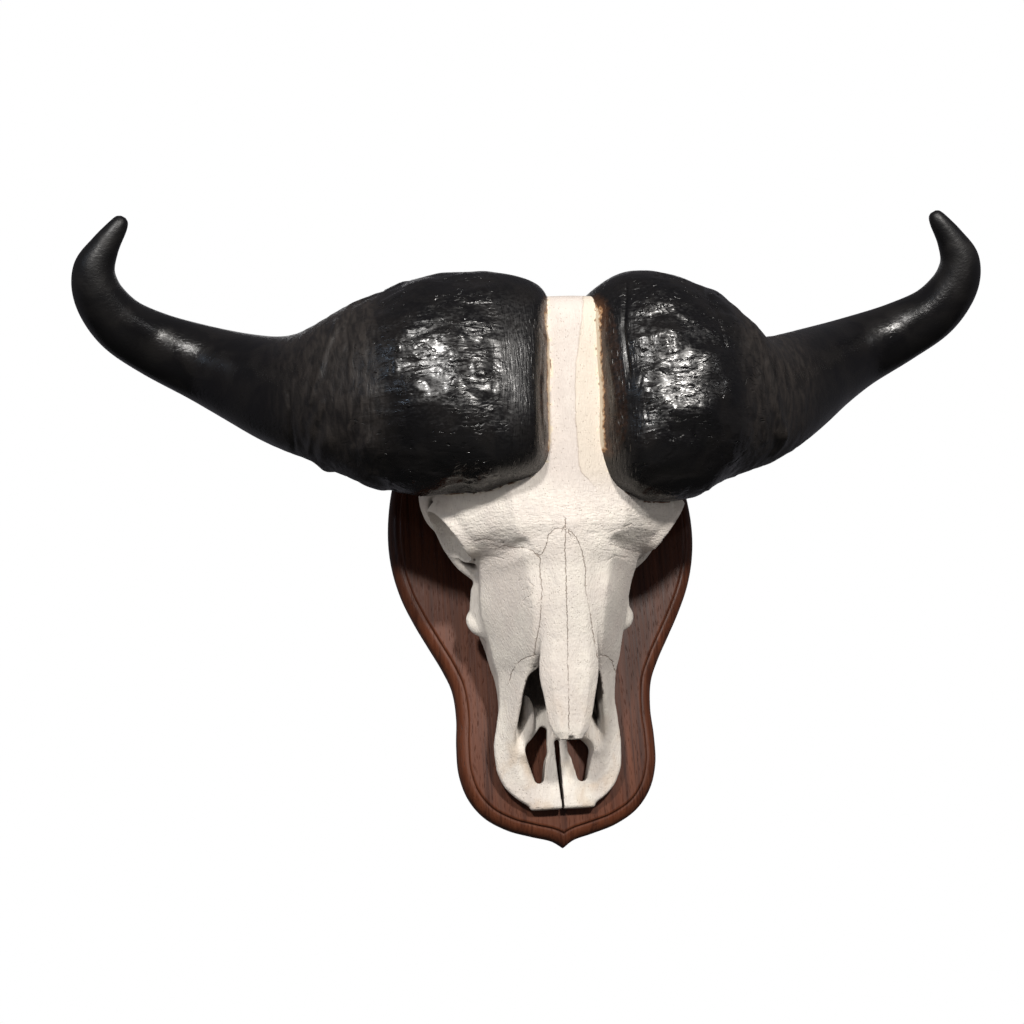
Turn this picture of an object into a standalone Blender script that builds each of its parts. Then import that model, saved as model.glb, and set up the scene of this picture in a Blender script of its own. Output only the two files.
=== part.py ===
"""Cape buffalo skull with its horns, fixed to a walnut shield board that hangs on a wall.

Metres, +Z up. The object faces -Y. The origin is on the back of the board, on the mid plane,
halfway up: the back of the board is the plane y = 0 and lies against the wall.
"""
import math

import bmesh
import bpy
import numpy as np
import openvdb
from mathutils import Matrix

# Driving dimensions, in metres
BOARD_THICKNESS = 0.022
FIT_GAP = 0.0003
SKULL_TRIANGLES = 3950

# The bone is drawn in millimetres, as (x from the mid plane, depth in front of the board, z).
MM = 0.001
BONE_CELL = 2.0
BONE_LOW = (0.0, 0.0, -262.0)
BONE_HIGH = (146.0, 226.0, 286.0)
FAR = 60.0

# Half outline of the board from its lower point to its upper point, as (x, z) in metres.
BOARD_OUTLINE = (
    (0.000, -0.2875), (0.012, -0.2800), (0.032, -0.2745), (0.056, -0.2668), (0.079, -0.2530),
    (0.0950, -0.2325), (0.1030, -0.2070), (0.1040, -0.1790), (0.1026, -0.1500), (0.1056, -0.1220),
    (0.1150, -0.0990), (0.1280, -0.0750), (0.1420, -0.0490), (0.1545, -0.0210), (0.1628, 0.0090),
    (0.1662, 0.0400), (0.1645, 0.0740), (0.1580, 0.1080), (0.1455, 0.1420), (0.1270, 0.1760),
    (0.1010, 0.2080), (0.0700, 0.2340), (0.0380, 0.2520), (0.0140, 0.2660), (0.000, 0.2875),
)
# Moulded edge of the board: distance in from the outline and depth from the back, in metres.
BOARD_EDGE = (
    (0.0000, 0.0000), (0.0000, 0.0090), (0.0016, 0.0140), (0.0058, 0.0183), (0.0112, 0.0198), (0.0122, 0.0220),
)

# Horn stations: centre (x, y, z), half height, depth in front and behind, squareness, forward lean.
HORN_STATIONS = (
    ((0.0205, -0.2050, 0.1470), 0.0670, 0.0340, 0.0200, 3.0, -0.05),
    ((0.0232, -0.2040, 0.1471), 0.0830, 0.0450, 0.0340, 3.0, -0.05),
    ((0.0325, -0.2010, 0.1473), 0.0970, 0.0560, 0.0480, 2.9, -0.05),
    ((0.0540, -0.1960, 0.1470), 0.1100, 0.0680, 0.0580, 2.7, -0.05),
    ((0.0800, -0.1890, 0.1465), 0.1155, 0.0790, 0.0630, 2.5, -0.05),
    ((0.1120, -0.1780, 0.1470), 0.1160, 0.0870, 0.0640, 2.35, -0.05),
    ((0.1480, -0.1640, 0.1500), 0.1075, 0.0860, 0.0640, 2.25, -0.04),
    ((0.1800, -0.1490, 0.1530), 0.0955, 0.0800, 0.0620, 2.15, -0.02),
    ((0.2120, -0.1320, 0.1580), 0.0805, 0.0700, 0.0590, 2.05, 0.0),
    ((0.2420, -0.1160, 0.1670), 0.0668, 0.0600, 0.0550, 2.0, 0.0),
    ((0.2730, -0.1000, 0.1810), 0.0565, 0.0530, 0.0510, 2.0, 0.0),
    ((0.3100, -0.0850, 0.2010), 0.0475, 0.0470, 0.0460, 2.0, 0.0),
    ((0.3520, -0.0770, 0.2220), 0.0400, 0.0400, 0.0400, 2.0, 0.0),
    ((0.4000, -0.0880, 0.2400), 0.0335, 0.0335, 0.0335, 2.0, 0.0),
    ((0.4320, -0.1120, 0.2530), 0.0290, 0.0290, 0.0290, 2.0, 0.0),
    ((0.4500, -0.1340, 0.2740), 0.0248, 0.0248, 0.0248, 2.0, 0.0),
    ((0.4520, -0.1500, 0.2960), 0.0203, 0.0203, 0.0203, 2.0, 0.0),
    ((0.4400, -0.1610, 0.3160), 0.0140, 0.0140, 0.0140, 2.0, 0.0),
    ((0.4270, -0.1680, 0.3330), 0.0095, 0.0095, 0.0095, 2.0, 0.0),
    ((0.4225, -0.1700, 0.3400), 0.0066, 0.0066, 0.0066, 2.0, 0.0),
    ((0.4212, -0.1706, 0.3425), 0.0030, 0.0030, 0.0030, 2.0, 0.0),
)
# The two horns differ a little: the strip of bone between them lies to one side of the mid plane,
# one boss ends higher over the eye, and the neck of the other horn lies lower and is slimmer.
STRIP_SHIFT = 0.0130
STRIP_REACH = 0.030
BOSS_LIFT = 0.0065
BOSS_X = 0.090
BOSS_REACH = 0.060
NECK_DROP = 0.0080
NECK_SLIM = 0.13
NECK_X = 0.205
NECK_REACH = 0.055
HORN_SIDES = 18
SMOOTHINGS = 3

# Cheek teeth from the front one back: length along the row and width, in metres.
TOOTH_SIZES = ((0.013, 0.012), (0.017, 0.015), (0.018, 0.018), (0.022, 0.021), (0.026, 0.022), (0.028, 0.022))
TOOTH_ROW_START = -0.104
TOOTH_ROW_X = 0.047
TOOTH_TOP = 0.027

TOOTH_TROUGH_WIDTH = 0.0236

# Screws through the board into the bone: height on the mid plane and depth of the tip in front of the board.
BOARD_SCREWS = (("skull_screw_bottom", -0.070, 0.031), ("skull_screw_top", 0.185, 0.052))
SCREW_RADIUS = 0.0023
SCREW_HEAD_RADIUS = 0.0048
SCREW_HEAD_DEPTH = 0.0035

# Keyhole plate that hooks on a wall screw, let into the back of the board.
HANGER_Z = 0.130
HANGER_WIDTH = 0.020
HANGER_LENGTH = 0.062
HANGER_THICKNESS = 0.0015
HANGER_SCREWS = (("hanger_screw_bottom", -0.024), ("hanger_screw_top", 0.024))
HANGER_SCREW_LENGTH = 0.012
KEYHOLE_RADIUS = 0.0046
KEYHOLE_NECK = 0.0022
NAIL_POCKET_DEPTH = 0.0100


def face(depth):
    """World y of a point that lies this far in front of the board."""
    return -(BOARD_THICKNESS + depth)


def new_collection(name):
    collection = bpy.data.collections.new(name)
    bpy.context.scene.collection.children.link(collection)
    return collection


def new_material(name, colour, roughness, metallic=0.0):
    material = bpy.data.materials.new(name)
    material.use_nodes = True
    shader = material.node_tree.nodes["Principled BSDF"]
    shader.inputs["Base Color"].default_value = (*colour, 1.0)
    shader.inputs["Roughness"].default_value = roughness
    shader.inputs["Metallic"].default_value = metallic
    return material


def add_object(name, mesh, collection, material=None):
    piece = bpy.data.objects.new(name, mesh)
    collection.objects.link(piece)
    if material:
        mesh.materials.append(material)
    return piece


def mesh_from(name, vertices, faces):
    mesh = bpy.data.meshes.new(name)
    mesh.from_pydata([tuple(v) for v in vertices], [], [tuple(f) for f in faces])
    face_outwards(mesh)
    return mesh


def face_outwards(mesh):
    work = bmesh.new()
    work.from_mesh(mesh)
    bmesh.ops.recalc_face_normals(work, faces=work.faces[:])
    work.to_mesh(mesh)
    work.free()


def boolean(piece, operation, cutter):
    modifier = piece.modifiers.new(operation.lower(), "BOOLEAN")
    modifier.operation = operation
    modifier.solver = "EXACT"
    modifier.object = cutter
    return modifier


def as_cutter(piece):
    piece.hide_render = True
    piece.display_type = "WIRE"
    return piece


def spline(points, count):
    """Points along a smooth Catmull-Rom curve through the given points, count to each span."""
    points = np.asarray(points, float)
    padded = np.vstack([2 * points[0] - points[1], points, 2 * points[-1] - points[-2]])
    steps = np.linspace(0, 1, count, endpoint=False)[:, None]
    curve = []
    for before, start, end, after in zip(padded, padded[1:], padded[2:], padded[3:]):
        a = 2 * start
        b = end - before
        c = 2 * before - 5 * start + 4 * end - after
        d = -before + 3 * start - 3 * end + after
        curve.append(0.5 * (a + b * steps + c * steps**2 + d * steps**3))
    return np.vstack([*curve, points[-1:]])


class BoneField:
    """Signed distance to the bone on a grid over half the skull, built up shape by shape."""

    def __init__(self, cell):
        self.cell = cell
        self.axes = [np.arange(low, high, cell) for low, high in zip(BONE_LOW, BONE_HIGH)]
        self.value = np.full([len(axis) for axis in self.axes], FAR)

    def window(self, low, high):
        spans = []
        for axis, near, far in zip(self.axes, low, high):
            spans.append(slice(np.searchsorted(axis, near), np.searchsorted(axis, far)))
        grids = np.meshgrid(*[axis[span] for axis, span in zip(self.axes, spans)], indexing="ij", sparse=True)
        return tuple(spans), grids

    def add(self, shape, blend):
        low, high, distance = shape
        margin = blend + 2 * self.cell
        spans, grids = self.window(np.subtract(low, margin), np.add(high, margin))
        here = self.value[spans]
        other = distance(*grids)
        overlap = np.maximum(blend - np.abs(here - other), 0)
        self.value[spans] = np.minimum(here, other) - overlap**2 / (4 * blend)

    def cut(self, shape, blend):
        low, high, distance = shape
        margin = blend + 2 * self.cell
        spans, grids = self.window(np.subtract(low, margin), np.add(high, margin))
        here = self.value[spans]
        other = -distance(*grids)
        overlap = np.maximum(blend - np.abs(here - other), 0)
        self.value[spans] = np.maximum(here, other) + overlap**2 / (4 * blend)


def spheroid(centre, along, across, axis=(0, 0, 1)):
    """An egg with one axis of its own and a round section."""
    axis = np.array(axis, float)
    axis /= np.linalg.norm(axis)
    reach = max(along, across)

    def distance(x, d, z):
        x, d, z = x - centre[0], d - centre[1], z - centre[2]
        run = x * axis[0] + d * axis[1] + z * axis[2]
        side = np.maximum(x * x + d * d + z * z - run * run, 0)
        near = np.sqrt((run / along) ** 2 + side / across**2)
        slope = np.sqrt((run / along**2) ** 2 + side / across**4)
        return near * (near - 1) / np.maximum(slope, 1e-6)

    return np.subtract(centre, reach), np.add(centre, reach), distance


def tube(points, radii):
    """A round bar along a smooth curve, its radius changing from point to point."""
    track = spline([(*point, radius) for point, radius in zip(points, radii)], 5)
    reach = max(radii)

    def distance(x, d, z):
        nearest = FAR
        for start, end in zip(track, track[1:]):
            step = end - start
            length = step[:3] @ step[:3]
            rx, rd, rz = x - start[0], d - start[1], z - start[2]
            t = np.clip((rx * step[0] + rd * step[1] + rz * step[2]) / length, 0, 1)
            gap = np.sqrt((rx - t * step[0]) ** 2 + (rd - t * step[1]) ** 2 + (rz - t * step[2]) ** 2)
            nearest = np.minimum(nearest, gap - start[3] - t * step[3])
        return nearest

    return track[:, :3].min(0) - reach, track[:, :3].max(0) + reach, distance


def polygon_distance(x, d, corners):
    """Signed distance to a closed outline that is mirrored at x = 0."""
    mirrored = [(-a, b) for a, b in corners[::-1] if a > 0]
    outline = np.array([*corners, *mirrored])
    square = None
    inside = np.zeros(np.broadcast(x, d).shape, bool)
    for start, end in zip(outline, np.roll(outline, -1, axis=0)):
        edge = end - start
        rx, rd = x - start[0], d - start[1]
        t = np.clip((rx * edge[0] + rd * edge[1]) / max(edge @ edge, 1e-9), 0, 1)
        gap = (rx - t * edge[0]) ** 2 + (rd - t * edge[1]) ** 2
        square = gap if square is None else np.minimum(square, gap)
        crosses = ((start[1] > d) != (end[1] > d)) & (rx < edge[0] * rd / (edge[1] or 1e-9))
        inside ^= crosses
    return np.sqrt(square) * np.where(inside, -1, 1)


def loft(stations, rounding):
    """A body whose section is a mirrored outline that changes with z."""
    heights = np.array([z for z, _ in stations])
    corners = np.array([outline for _, outline in stations], float)

    def distance(x, d, z):
        x, d, z = np.asarray(x), np.asarray(d), np.ravel(z)
        layers = []
        for level in z:
            held = np.clip(level, heights[0], heights[-1])
            section = smooth_between(heights, corners, held)
            flat = polygon_distance(x[..., 0], d[..., 0], section)
            past = abs(level - held)
            outside = np.hypot(np.maximum(flat, 0), past)
            layers.append(np.where(past > 0, outside, flat) - rounding)
        return np.stack(layers, axis=-1)

    low = (0, corners[..., 1].min() - rounding, heights[0] - rounding)
    high = (corners[..., 0].max() + rounding, corners[..., 1].max() + rounding, heights[-1] + rounding)
    return low, high, distance


def smooth_between(heights, values, level):
    """Values at a level, on smooth curves that don't overshoot between their stations."""
    index = int(np.clip(np.searchsorted(heights, level) - 1, 0, len(heights) - 2))
    slopes = np.diff(values, axis=0) / np.diff(heights)[:, None, None]
    tangents = [slopes[0], *[steady(a, b) for a, b in zip(slopes, slopes[1:])], slopes[-1]]
    step = heights[index + 1] - heights[index]
    t = (level - heights[index]) / step
    start, end = values[index], values[index + 1]
    bend = (1 + 2 * t) * (1 - t) ** 2 * start + t * t * (3 - 2 * t) * end
    return bend + step * (t * (1 - t) ** 2 * tangents[index] - t * t * (1 - t) * tangents[index + 1])


def steady(a, b):
    """Harmonic mean of two slopes, and nothing where the curve turns back."""
    same = a * b > 0
    return np.where(same, 2 * a * b / np.where(same, a + b, 1), 0)


def prism(points, radii, depth):
    """A slot through the plate of the upper jaw, round ended, as seen from the front."""
    (x0, z0), (x1, z1) = points
    run = np.array([x1 - x0, z1 - z0])

    def distance(x, d, z):
        t = np.clip(((x - x0) * run[0] + (z - z0) * run[1]) / (run @ run), 0, 1)
        flat = np.hypot(x - x0 - t * run[0], z - z0 - t * run[1]) - radii[0] - t * (radii[1] - radii[0])
        return np.maximum(flat, d - depth)

    reach = max(radii)
    low = (min(x0, x1) - reach, 0, min(z0, z1) - reach)
    return low, (max(x0, x1) + reach, depth, max(z0, z1) + reach), distance


# Sections of the bone: z, then corners (x, depth) from the roof on the mid plane round to the base.
CRANIUM = (
    (-34, ((0, 112), (24, 104), (38, 88), (46, 70), (44, 46), (26, 36), (0, 38))),
    (-12, ((0, 146), (38, 136), (60, 110), (64, 82), (54, 44), (30, 30), (0, 32))),
    (8, ((0, 167), (50, 158), (84, 134), (78, 98), (58, 50), (30, 26), (0, 30))),
    (32, ((0, 172), (54, 165), (98, 140), (82, 106), (54, 60), (32, 30), (0, 32))),
    (60, ((0, 178), (58, 171), (104, 142), (86, 110), (50, 68), (36, 36), (0, 36))),
    (110, ((0, 186), (60, 180), (106, 146), (88, 114), (50, 72), (42, 38), (0, 38))),
    (160, ((0, 193), (62, 186), (106, 148), (90, 116), (54, 74), (48, 38), (0, 38))),
    (210, ((0, 200), (60, 192), (102, 148), (90, 116), (64, 76), (54, 38), (0, 36))),
    (262, ((0, 200), (54, 190), (92, 146), (84, 114), (66, 74), (54, 36), (0, 34))),
)
SNOUT = (
    (-246, ((0, 12), (22, 12), (30, 11), (24, 7), (0, 7))),
    (-236, ((0, 13), (32, 14), (44, 13), (36, 7), (0, 7))),
    (-224, ((0, 13), (38, 18), (54, 15), (46, 8), (0, 8))),
    (-207, ((0, 14), (45, 24), (60, 19), (52, 8), (0, 8))),
    (-187, ((0, 17), (47, 33), (61, 25), (54, 8), (0, 9))),
    (-165, ((0, 44), (45, 48), (58, 33), (52, 10), (0, 12))),
    (-143, ((0, 62), (41, 64), (55, 40), (52, 12), (0, 14))),
    (-120, ((0, 84), (35, 84), (56, 48), (54, 14), (0, 18))),
    (-105, ((0, 112), (32, 102), (60, 54), (58, 14), (0, 20))),
    (-85, ((0, 127), (32, 118), (64, 62), (62, 15), (0, 22))),
    (-60, ((0, 141), (34, 131), (70, 72), (68, 16), (0, 24))),
    (-30, ((0, 152), (38, 140), (73, 90), (66, 18), (0, 24))),
    (-5, ((0, 163), (44, 153), (78, 108), (62, 22), (0, 26))),
    (25, ((0, 160), (46, 150), (70, 104), (56, 20), (0, 28))),
)
NASAL_CAVITY = (
    (-194, ((0, 60), (40, 60), (43, 38), (37, 27), (0, 25))),
    (-165, ((0, 106), (34, 104), (42, 40), (41, 27), (0, 25))),
    (-143, ((0, 114), (31, 112), (40, 44), (41, 26), (0, 25))),
    (-126, ((0, 118), (25, 116), (40, 50), (42, 25), (0, 26))),
    (-117, ((0, 108), (20, 92), (42, 54), (45, 25), (0, 27))),
    (-100, ((0, 112), (21, 94), (45, 58), (48, 27), (0, 30))),
    (-60, ((0, 124), (26, 108), (50, 70), (50, 31), (0, 36))),
    (-20, ((0, 138), (24, 122), (38, 88), (36, 54), (0, 52))),
    (10, ((0, 120), (12, 112), (18, 94), (12, 76), (0, 74))),
)
NASALS = (
    (-188, ((0, 94), (7, 94), (10, 92), (9, 91), (0, 91))),
    (-182, ((0, 97), (10, 97), (15, 93), (14, 91), (0, 93))),
    (-172, ((0, 101), (12, 100), (19, 95), (18, 93), (0, 96))),
    (-150, ((0, 109), (15, 107), (23, 101), (22, 98), (0, 102))),
    (-125, ((0, 118), (18, 116), (27, 108), (26, 104), (0, 110))),
    (-100, ((0, 127), (16, 125), (26, 118), (24, 112), (0, 118))),
    (-60, ((0, 143), (12, 142), (21, 136), (19, 126), (0, 128))),
    (-30, ((0, 156), (11, 154), (20, 149), (18, 138), (0, 138))),
    (-8, ((0, 166), (8, 165), (13, 162), (11, 150), (0, 150))),
    (6, ((0, 171), (3, 171), (5, 169), (4, 160), (0, 160))),
)
ORBIT_CENTRE = (103, 100, 19)
ORBIT_AXIS = (0.82, -0.02, -0.57)
# The skull sits turned a little on its board: how far its front lies to the right of its back.
SKULL_TURN = 0.055
TURN_DEPTH = 100
# Its cheeks also lie a little to the left: how far, their height, their reach and where the front begins.
CHEEK_SHIFT = -3.0
CHEEK_HEIGHT = -45
CHEEK_REACH = 42
CHEEK_DEPTH = 110
# The front of the jaw leans to the right below this height.
JAW_LEAN = 0.055
JAW_TOP = -185


def ahead(distance):
    """A point on the axis of the eye socket, this far outside its rim."""
    return np.add(ORBIT_CENTRE, np.multiply(ORBIT_AXIS, distance))


def bone_field(cell):
    bone = BoneField(cell)
    bone.add(loft(CRANIUM, 6), 1)
    bone.add(loft(SNOUT, 4), 14)
    add_cheek(bone)
    add_orbit(bone)
    cut_crown(bone)
    bone.cut(loft(NASAL_CAVITY, 2), 3)
    bone.add(loft(NASALS, 2), 5)
    bone.cut(spheroid((0, 94, -194), 8, 3.6, (0, 0.1, 1)), 1)
    shape_jaw_front(bone)
    add_base(bone)
    return bone


def add_cheek(bone):
    bone.add(tube(((71, 48, -68), (73, 50, -50), (73, 56, -32)), (9, 9, 8)), 10)
    bone.add(spheroid((79, 46, -62), 11, 7, (0.2, -0.2, 1)), 5)


def add_orbit(bone):
    bone.add(tube(((66, 108, 44), (97, 101, 24)), (42, 37)), 12)
    front_of_arch = ((74, 62, -16), (92, 64, -3), (104, 66, 13), (111, 67, 30), (122, 66, 46))
    back_of_arch = ((125, 62, 70), (112, 54, 96), (84, 48, 116))
    bone.add(tube(front_of_arch + back_of_arch, (8, 7, 6.5, 6.5, 7, 8, 10, 16)), 6)
    bone.cut(tube(((98, 90, -21), (84, 112, -20), (66, 133, -16), (46, 154, -10)), (9, 8, 7, 5)), 8)
    bone.add(tube(((104, 138, 56), (122, 112, 62), (124, 74, 62)), (12, 8, 7)), 8)
    bone.cut(spheroid(ahead(15), 42, 32, ORBIT_AXIS), 3)
    bone.cut(spheroid((98, 84, 88), 34, 20, (0.1, -0.5, 1)), 10)


def cut_crown(bone):
    """The top of the skull slopes up from the frontal ridge to the back of the head."""
    slope = np.array([0.0, 0.26, 0.966])
    edge = 200 * slope[1] + 230 * slope[2]

    def distance(x, d, z):
        return edge - (slope[0] * x + slope[1] * d + slope[2] * z)

    bone.cut(((0, 0, 190), BONE_HIGH, distance), 22)
    bone.cut(spheroid((0, 118, 290), 44, 52, (1, 0, 0)), 20)


def shape_jaw_front(bone):
    bone.add(tube(((37, 25, -190), (35, 27, -172), (33, 29, -155)), (9, 7, 3)), 7)
    bone.add(tube(((0, 26, -178), (0, 46, -130), (0, 84, -60)), (3, 3, 4)), 4)
    bone.cut(prism(((22, -219), (23, -193)), (5.0, 11.8), 60), 2)
    bone.cut(prism(((-0.5, -262), (0, -184)), (1.3, 2.6), 60), 1)


def add_base(bone):
    bone.cut(tube(((0, -16, -176), (0, -14, -80), (0, -14, 10)), (34, 35, 35)), 4)
    bone.add(tube(((22, 18, 6), (20, 14, 40), (18, 22, 78)), (5, 4, 6)), 6)
    bone.cut(spheroid((0, 30, 44), 34, 13, (0, 0, 1)), 4)
    bone.add(spheroid((40, 24, 176), 20, 14, (0, 0.2, 1)), 6)
    bone.add(tube(((56, 40, 224), (58, 22, 232), (54, 9, 236)), (13, 9, 5)), 8)
    bone.add(spheroid((25, 26, 252), 20, 15, (0.3, 0.5, 1)), 6)
    bone.cut(spheroid((0, 34, 264), 30, 16, (0, 0.3, 1)), 3)


def mesh_of_field(name, bone):
    """The surface of the half field and its mirror image, as one closed mesh in metres."""
    mirrored = np.concatenate([bone.value[:0:-1], bone.value], axis=0)
    padded = np.pad(mirrored, 1, constant_values=FAR)
    grid = openvdb.FloatGrid(FAR)
    grid.copyFromArray(padded)
    points, _, quads = grid.convertToPolygons(isovalue=0.0, adaptivity=0.0)
    points = (points - 1) * bone.cell
    depth = points[:, 1] + BONE_LOW[1]
    x = points[:, 0] - bone.axes[0][-1] + SKULL_TURN * (depth - TURN_DEPTH)
    beside = np.clip((CHEEK_DEPTH - depth) / 30, 0, 1)
    x += CHEEK_SHIFT * beside * np.exp(-(((points[:, 2] + BONE_LOW[2] - CHEEK_HEIGHT) / CHEEK_REACH) ** 2))
    x += JAW_LEAN * np.maximum(JAW_TOP - points[:, 2] - BONE_LOW[2], 0)
    z = points[:, 2] + BONE_LOW[2]
    vertices = np.stack([x * MM, -BOARD_THICKNESS - depth * MM, z * MM], axis=1)
    return mesh_from(name, vertices, quads)


def keep_largest_body(mesh):
    """Only the largest connected body stays, so no crumb of bone is left loose."""
    work = bmesh.new()
    work.from_mesh(mesh)
    unseen = set(work.verts)
    bodies = []
    while unseen:
        stack = [unseen.pop()]
        body = list(stack)
        while stack:
            for edge in stack.pop().link_edges:
                for vertex in edge.verts:
                    if vertex in unseen:
                        unseen.remove(vertex)
                        stack.append(vertex)
                        body.append(vertex)
        bodies.append(body)
    largest = max(bodies, key=len)
    for body in bodies:
        if body is not largest:
            bmesh.ops.delete(work, geom=body, context="VERTS")
    bmesh.ops.recalc_face_normals(work, faces=work.faces[:])
    work.to_mesh(mesh)
    work.free()


def evaluated_copy(name, source):
    """A new mesh of what the modifiers of an object make."""
    shown = source.evaluated_get(bpy.context.evaluated_depsgraph_get())
    mesh = bpy.data.meshes.new_from_object(shown)
    mesh.name = name
    return mesh


def build_skull(parts, cutters, material, horns):
    """The bone, hollowed where the two horns are seated in it."""
    mesh = mesh_of_field("skull_fine", bone_field(BONE_CELL))
    keep_largest_body(mesh)
    fine = add_object("skull_fine", mesh, cutters)
    thin = fine.modifiers.new("thin", "DECIMATE")
    thin.use_collapse_triangulate = True
    triangles = sum(len(polygon.vertices) - 2 for polygon in mesh.polygons)
    thin.ratio = SKULL_TRIANGLES / triangles
    for horn in horns:
        boolean(fine, "DIFFERENCE", grown_cutter(f"{horn.name}_seat", horn, cutters))
    skull_mesh = evaluated_copy("skull", fine)
    bpy.data.objects.remove(fine)
    keep_largest_body(skull_mesh)
    skull_mesh.materials.clear()
    skull = add_object("skull", skull_mesh, parts, material)
    skull_mesh.shade_smooth()
    return skull


def horn_stations(side):
    """Rings of one horn, read from smooth curves through its stations."""
    rings = spline([(*centre, *section) for centre, *section in HORN_STATIONS], 2)
    near_strip = np.exp(-((rings[:, 0] - rings[0, 0]) / STRIP_REACH) ** 2)
    near_neck = np.exp(-(((rings[:, 0] - NECK_X) / NECK_REACH) ** 2))
    rings[:, 0] += side * STRIP_SHIFT * near_strip
    rings[:, 2] -= side * NECK_DROP * near_neck
    near_boss = np.exp(-(((rings[:, 0] - BOSS_X) / BOSS_REACH) ** 2))
    if side > 0:
        rings[:, 3:6] *= 1 - NECK_SLIM * near_neck[:, None]
    else:
        rings[:, 2] += BOSS_LIFT * near_boss
        rings[:, 3] -= BOSS_LIFT * near_boss
    tangents = np.gradient(rings[:, :3], axis=0)
    for _ in range(SMOOTHINGS):
        tangents[1:-1] = (tangents[:-2] + 2 * tangents[1:-1] + tangents[2:]) / 4
    tangents /= np.linalg.norm(tangents, axis=1)[:, None]
    return rings, tangents


def build_horn(name, side, parts, material):
    stations, tangents = horn_stations(side)
    forward = np.array([0, -1.0, 0])
    vertices = []
    for row, tangent in zip(stations, tangents):
        centre, height, front, back, power, lean = row[:3], *row[3:]
        out = forward - (forward @ tangent) * tangent
        out /= np.linalg.norm(out)
        up = np.cross(out, tangent)
        for index in range(HORN_SIDES):
            angle = 2 * math.pi * index / HORN_SIDES
            rise = math.copysign(abs(math.sin(angle)) ** (2 / power), math.sin(angle))
            reach = math.copysign(abs(math.cos(angle)) ** (2 / power), math.cos(angle))
            depth = front if reach > 0 else back
            point = centre + up * height * rise + out * (depth * reach + height * rise * math.sin(lean))
            vertices.append((side * point[0], point[1], point[2]))
    last = len(vertices) - HORN_SIDES
    faces = []
    for start in range(0, last, HORN_SIDES):
        for index in range(HORN_SIDES):
            a, b = start + index, start + (index + 1) % HORN_SIDES
            faces.append((a, b, b + HORN_SIDES, a + HORN_SIDES))
    faces.append(tuple(range(HORN_SIDES)))
    faces.append(tuple(last + index for index in range(HORN_SIDES)))
    mesh = mesh_from(name, vertices, faces)
    mesh.shade_smooth()
    return add_object(name, mesh, parts, material)


def grown_cutter(name, source, cutters):
    """What a piece takes up, with a small gap all round, for cutting its neighbours."""
    mesh = evaluated_copy(name, source)
    mesh.transform(source.matrix_world)
    cutter = add_object(name, mesh, cutters)
    grow = cutter.modifiers.new("grow", "DISPLACE")
    grow.strength = 2 * FIT_GAP
    grow.mid_level = 0.0
    return as_cutter(cutter)


def build_teeth(parts, cutters, material, skull):
    """Upper cheek teeth in two rows, each row in a trough of the jaw, crowns against the board."""
    shift = SKULL_TURN * (TOOTH_TOP - TURN_DEPTH * MM)
    row_length = sum(length for length, _ in TOOTH_SIZES) + FIT_GAP * (len(TOOTH_SIZES) + 1)
    for side, label in ((-1, "left"), (1, "right")):
        bpy.ops.mesh.primitive_cube_add(size=1)
        trough = bpy.context.object
        trough.name = f"tooth_trough_{label}"
        trough.data.transform(Matrix.Diagonal((TOOTH_TROUGH_WIDTH, TOOTH_TOP + 0.02, row_length, 1)))
        middle = TOOTH_ROW_START + row_length / 2
        trough.location = (shift + side * TOOTH_ROW_X, face(TOOTH_TOP / 2 - 0.01 + FIT_GAP), middle)
        move_to(trough, cutters)
        boolean(skull, "DIFFERENCE", as_cutter(trough))
        z = TOOTH_ROW_START
        for number, (length, width) in enumerate(TOOTH_SIZES, 1):
            bpy.ops.mesh.primitive_cube_add(size=1)
            tooth = bpy.context.object
            tooth.name = f"tooth_{label}_{number}"
            tooth.data.transform(Matrix.Diagonal((width, TOOTH_TOP - 2 * FIT_GAP, length, 1)))
            z += FIT_GAP
            tooth.location = (shift + side * TOOTH_ROW_X, face(TOOTH_TOP / 2 - FIT_GAP), z + length / 2)
            z += length
            move_to(tooth, parts)
            tooth.data.materials.append(material)
            edge = tooth.modifiers.new("edge", "BEVEL")
            edge.width = 0.0028
            edge.segments = 1


def move_to(piece, collection):
    for current in list(piece.users_collection):
        current.objects.unlink(piece)
    collection.objects.link(piece)


def build_screw(name, height, length, material, parts):
    """A countersunk screw whose head lies flush in the back, turned about the Y axis."""
    profile = (
        (0.0, 0.0), (SCREW_HEAD_RADIUS, 0.0), (SCREW_HEAD_RADIUS, -0.0005), (SCREW_RADIUS, -SCREW_HEAD_DEPTH),
        (SCREW_RADIUS, 0.0040 - length), (0.0, -length),
    )
    mesh = bpy.data.meshes.new(name)
    points = [(radius, 0.0, z) for radius, z in profile]
    mesh.from_pydata(points, [(i, i + 1) for i in range(len(points) - 1)], [])
    screw = add_object(name, mesh, parts, material)
    screw.rotation_euler = (-math.pi / 2, 0, 0)
    screw.location = (0, -FIT_GAP, height)
    turn = screw.modifiers.new("turn", "SCREW")
    turn.steps = 12
    turn.render_steps = 12
    turn.use_merge_vertices = True
    turn.merge_threshold = 0.00001
    return screw


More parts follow.
